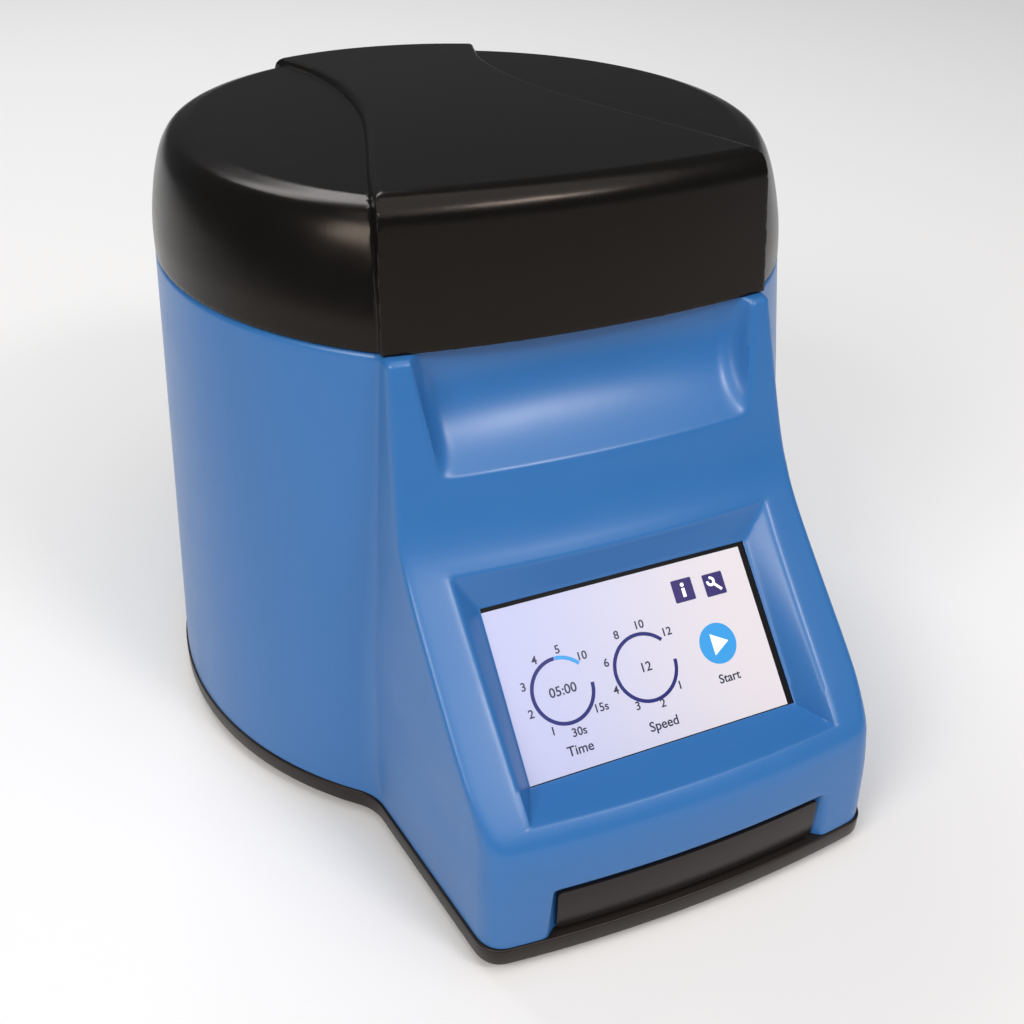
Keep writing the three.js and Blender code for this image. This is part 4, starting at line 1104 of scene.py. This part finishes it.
def make_rear():
    edge = POCKET["half_w"] - 0.3
    outer = rounded_rect((-edge, POCKET["z0"] + 0.3), (edge, POCKET["z1"] - 0.3), 1.5)
    inlet_hole = rounded_rect((INLET_X - 13.3, INLET_LOW - 0.3), (INLET_X + 13.3, INLET_HIGH + 0.3), 1.0)
    slots = [rounded_rect((-44.0, z), (-8.0, z + 3.0), 1.49) for z in VENTS]
    panel = flat_part("connector_panel", [outer, inlet_hole, *slots], 0.0, PANEL_THICK, 0.35)
    settle(upright(panel, PANEL_Y), DARK, "base", ["rear_panel"])
    socket = [(INLET_X + x, z) for x, z in SOCKET]
    drawer = rounded_rect((INLET_X - 11, 48.5), (INLET_X + 11, 56.5), 0.6)
    rocker = rounded_rect((INLET_X - 8.4, 59.3), (INLET_X + 8.4, 67.7), 0.6)
    flange = rounded_rect((INLET_X - 16, 22), (INLET_X + 16, 70), 3.0)
    face = upright(flat_part("mains_inlet", [flange, socket, drawer, rocker], 0.0, 3.0, 0.5), 107.1)
    settle(face, DARK, "base", ["inlet_body"])
    sleeve = rounded_rect((INLET_X - 13, INLET_LOW), (INLET_X + 13, INLET_HIGH), 1.0)
    body = upright(flat_part("inlet_sleeve", [sleeve, socket, drawer, rocker], 0.0, 21.6, 0.3), 104.0)
    settle(body, DARK, "base")
    back = upright(flat_part("inlet_back", [sleeve], 0.0, 2.0, 0.3), 84.2)
    settle(back, DARK, "base")
    blades = [rounded_rect((INLET_X + x - 1, z - 2), (INLET_X + x + 1, z + 2), 0.4, 3) for x, z in PINS]
    pins = [upright(flat_part("pin", [blade], 0.0, 15.0, 0.35), 99.5) for blade in blades]
    settle(joined("inlet_pins", pins), STEEL, "base")


def make_fuse_drawer():
    front = rounded_rect((INLET_X - 10.7, 48.8), (INLET_X + 10.7, 56.2), 0.7)
    made = upright(flat_part("fuse_carrier", [front], 0.0, 21.5, 0.5), 108.0)
    notch = box_piece("notch", (INLET_X - 4.5, 105.2, 47.0), (INLET_X + 4.5, 106.6, 51.4))
    boolean(made, notch)
    settle(made, DARK, "fuse", ["fuse_drawer"])


def make_rocker():
    """A rocker with a hollowed face, drawn as a profile across its tilt and pulled along X."""
    low, high, back, front, hollow = 60.3, 66.7, 99.2, 108.4, 1.7
    face = [(front - hollow * math.sin(math.pi * t), lerp(high, low, t)) for t in np.linspace(0, 1, 14)]
    section = np.array([(back, low), (back, high), *face])
    centre = section.mean(axis=0)
    rings = []
    for x, shrink in ((-8.0, 0.5), (-7.5, 0.0), (7.5, 0.0), (8.0, 0.5)):
        scaled = centre + (section - centre) * (1 - shrink / 3.2)
        rings.append(np.column_stack([np.full(len(scaled), INLET_X + x), scaled]))
    made = loft("power_rocker_cap", rings)
    settle(made, DARK, "rocker", ["power_rocker"])


make_hinge()
make_rear()
make_fuse_drawer()
make_rocker()


# -------- camera and light
CAMERA_ANGLES = (-25.32, 33.08, 1.463)  # azimuth from the front, elevation and roll, in degrees
CAMERA_PLACE = (-190.4, -451.5, 363.9)
CAMERA_LENS = 42.52
LIGHTS = (  # name, place in metres, width and height, power, colour
    ("key", (-1.3, -0.7, 1.25), (0.7, 0.7), 15, (1.0, 0.94, 0.88)),
    ("window", (0.6, -1.35, 1.45), (0.45, 0.3), 10, (1.0, 0.92, 0.9)),
    ("rear", (-0.2, 1.5, 1.9), (1.2, 0.6), 16, (0.97, 0.98, 1.0)),
)


def make_camera():
    azimuth, elevation, roll = (math.radians(a) for a in CAMERA_ANGLES)
    level = math.cos(elevation)
    back = Vector((math.sin(azimuth) * level, -math.cos(azimuth) * level, math.sin(elevation)))
    right = (-back).cross(Vector((0, 0, 1))).normalized()
    up = right.cross(-back)
    tilted_right = right * math.cos(roll) + up * math.sin(roll)
    tilted_up = up * math.cos(roll) - right * math.sin(roll)
    turn = Matrix((tilted_right, tilted_up, back)).transposed().to_4x4()
    data = bpy.data.cameras.new("camera")
    data.lens = CAMERA_LENS
    data.sensor_width = 36.0
    camera = linked("camera", data)
    camera.matrix_world = Matrix.Translation(Vector(to_row(CAMERA_PLACE))) @ turn
    bpy.context.scene.camera = camera


def make_floor():
    floor = linked("floor", bpy.data.meshes.new("floor"))
    reach = 6.0
    corners = [(-reach, -reach, 0), (reach, -reach, 0), (reach, reach, 0), (-reach, reach, 0)]
    floor.data.from_pydata(corners, [], [(0, 1, 2, 3)])
    floor.location.z = CAD_BOX[0].z - 0.0005
    material, nodes, _ = shader("floor")
    nodes["Principled BSDF"].inputs["Base Color"].default_value = (0.8, 0.8, 0.8, 1)
    nodes["Principled BSDF"].inputs["Roughness"].default_value = 0.9
    floor.data.materials.append(material)


def make_lights():
    """Soft rectangles aimed at the object's middle, and a broad overhead light."""
    for name, place, size, power, colour in LIGHTS:
        data = bpy.data.lights.new(name, "AREA")
        data.shape = "RECTANGLE"
        data.size, data.size_y = size
        data.energy = power
        data.color = colour
        light = linked(name, data)
        light.location = place
        aim = Vector((0, 0, 0.12)) - Vector(place)
        light.rotation_euler = aim.to_track_quat("-Z", "Y").to_euler()
    sky = bpy.data.lights.new("overhead", "SUN")
    sky.energy = 1.7
    sky.angle = math.radians(75)
    linked("overhead", sky).rotation_euler = (math.radians(24), 0, 0)


def make_world():
    """A pale backdrop above the floor that adds only a dim, even light to the object."""
    world = bpy.data.worlds.new("world")
    world.use_nodes = True
    nodes, links = world.node_tree.nodes, world.node_tree.links
    room = nodes["Background"]
    room.inputs["Color"].default_value = (0.95, 0.97, 1, 1)
    room.inputs["Strength"].default_value = 0.1
    backdrop = nodes.new("ShaderNodeBackground")
    backdrop.inputs["Color"].default_value = (1, 1, 1, 1)
    backdrop.inputs["Strength"].default_value = 0.85
    ray = nodes.new("ShaderNodeLightPath")
    mix = nodes.new("ShaderNodeMixShader")
    links.new(ray.outputs["Is Camera Ray"], mix.inputs["Fac"])
    links.new(room.outputs["Background"], mix.inputs[1])
    links.new(backdrop.outputs["Background"], mix.inputs[2])
    links.new(mix.outputs["Shader"], nodes["World Output"].inputs["Surface"])
    bpy.context.scene.world = world


make_camera()
make_floor()
make_world()
make_lights()
bpy.context.scene.view_settings.view_transform = "Standard"
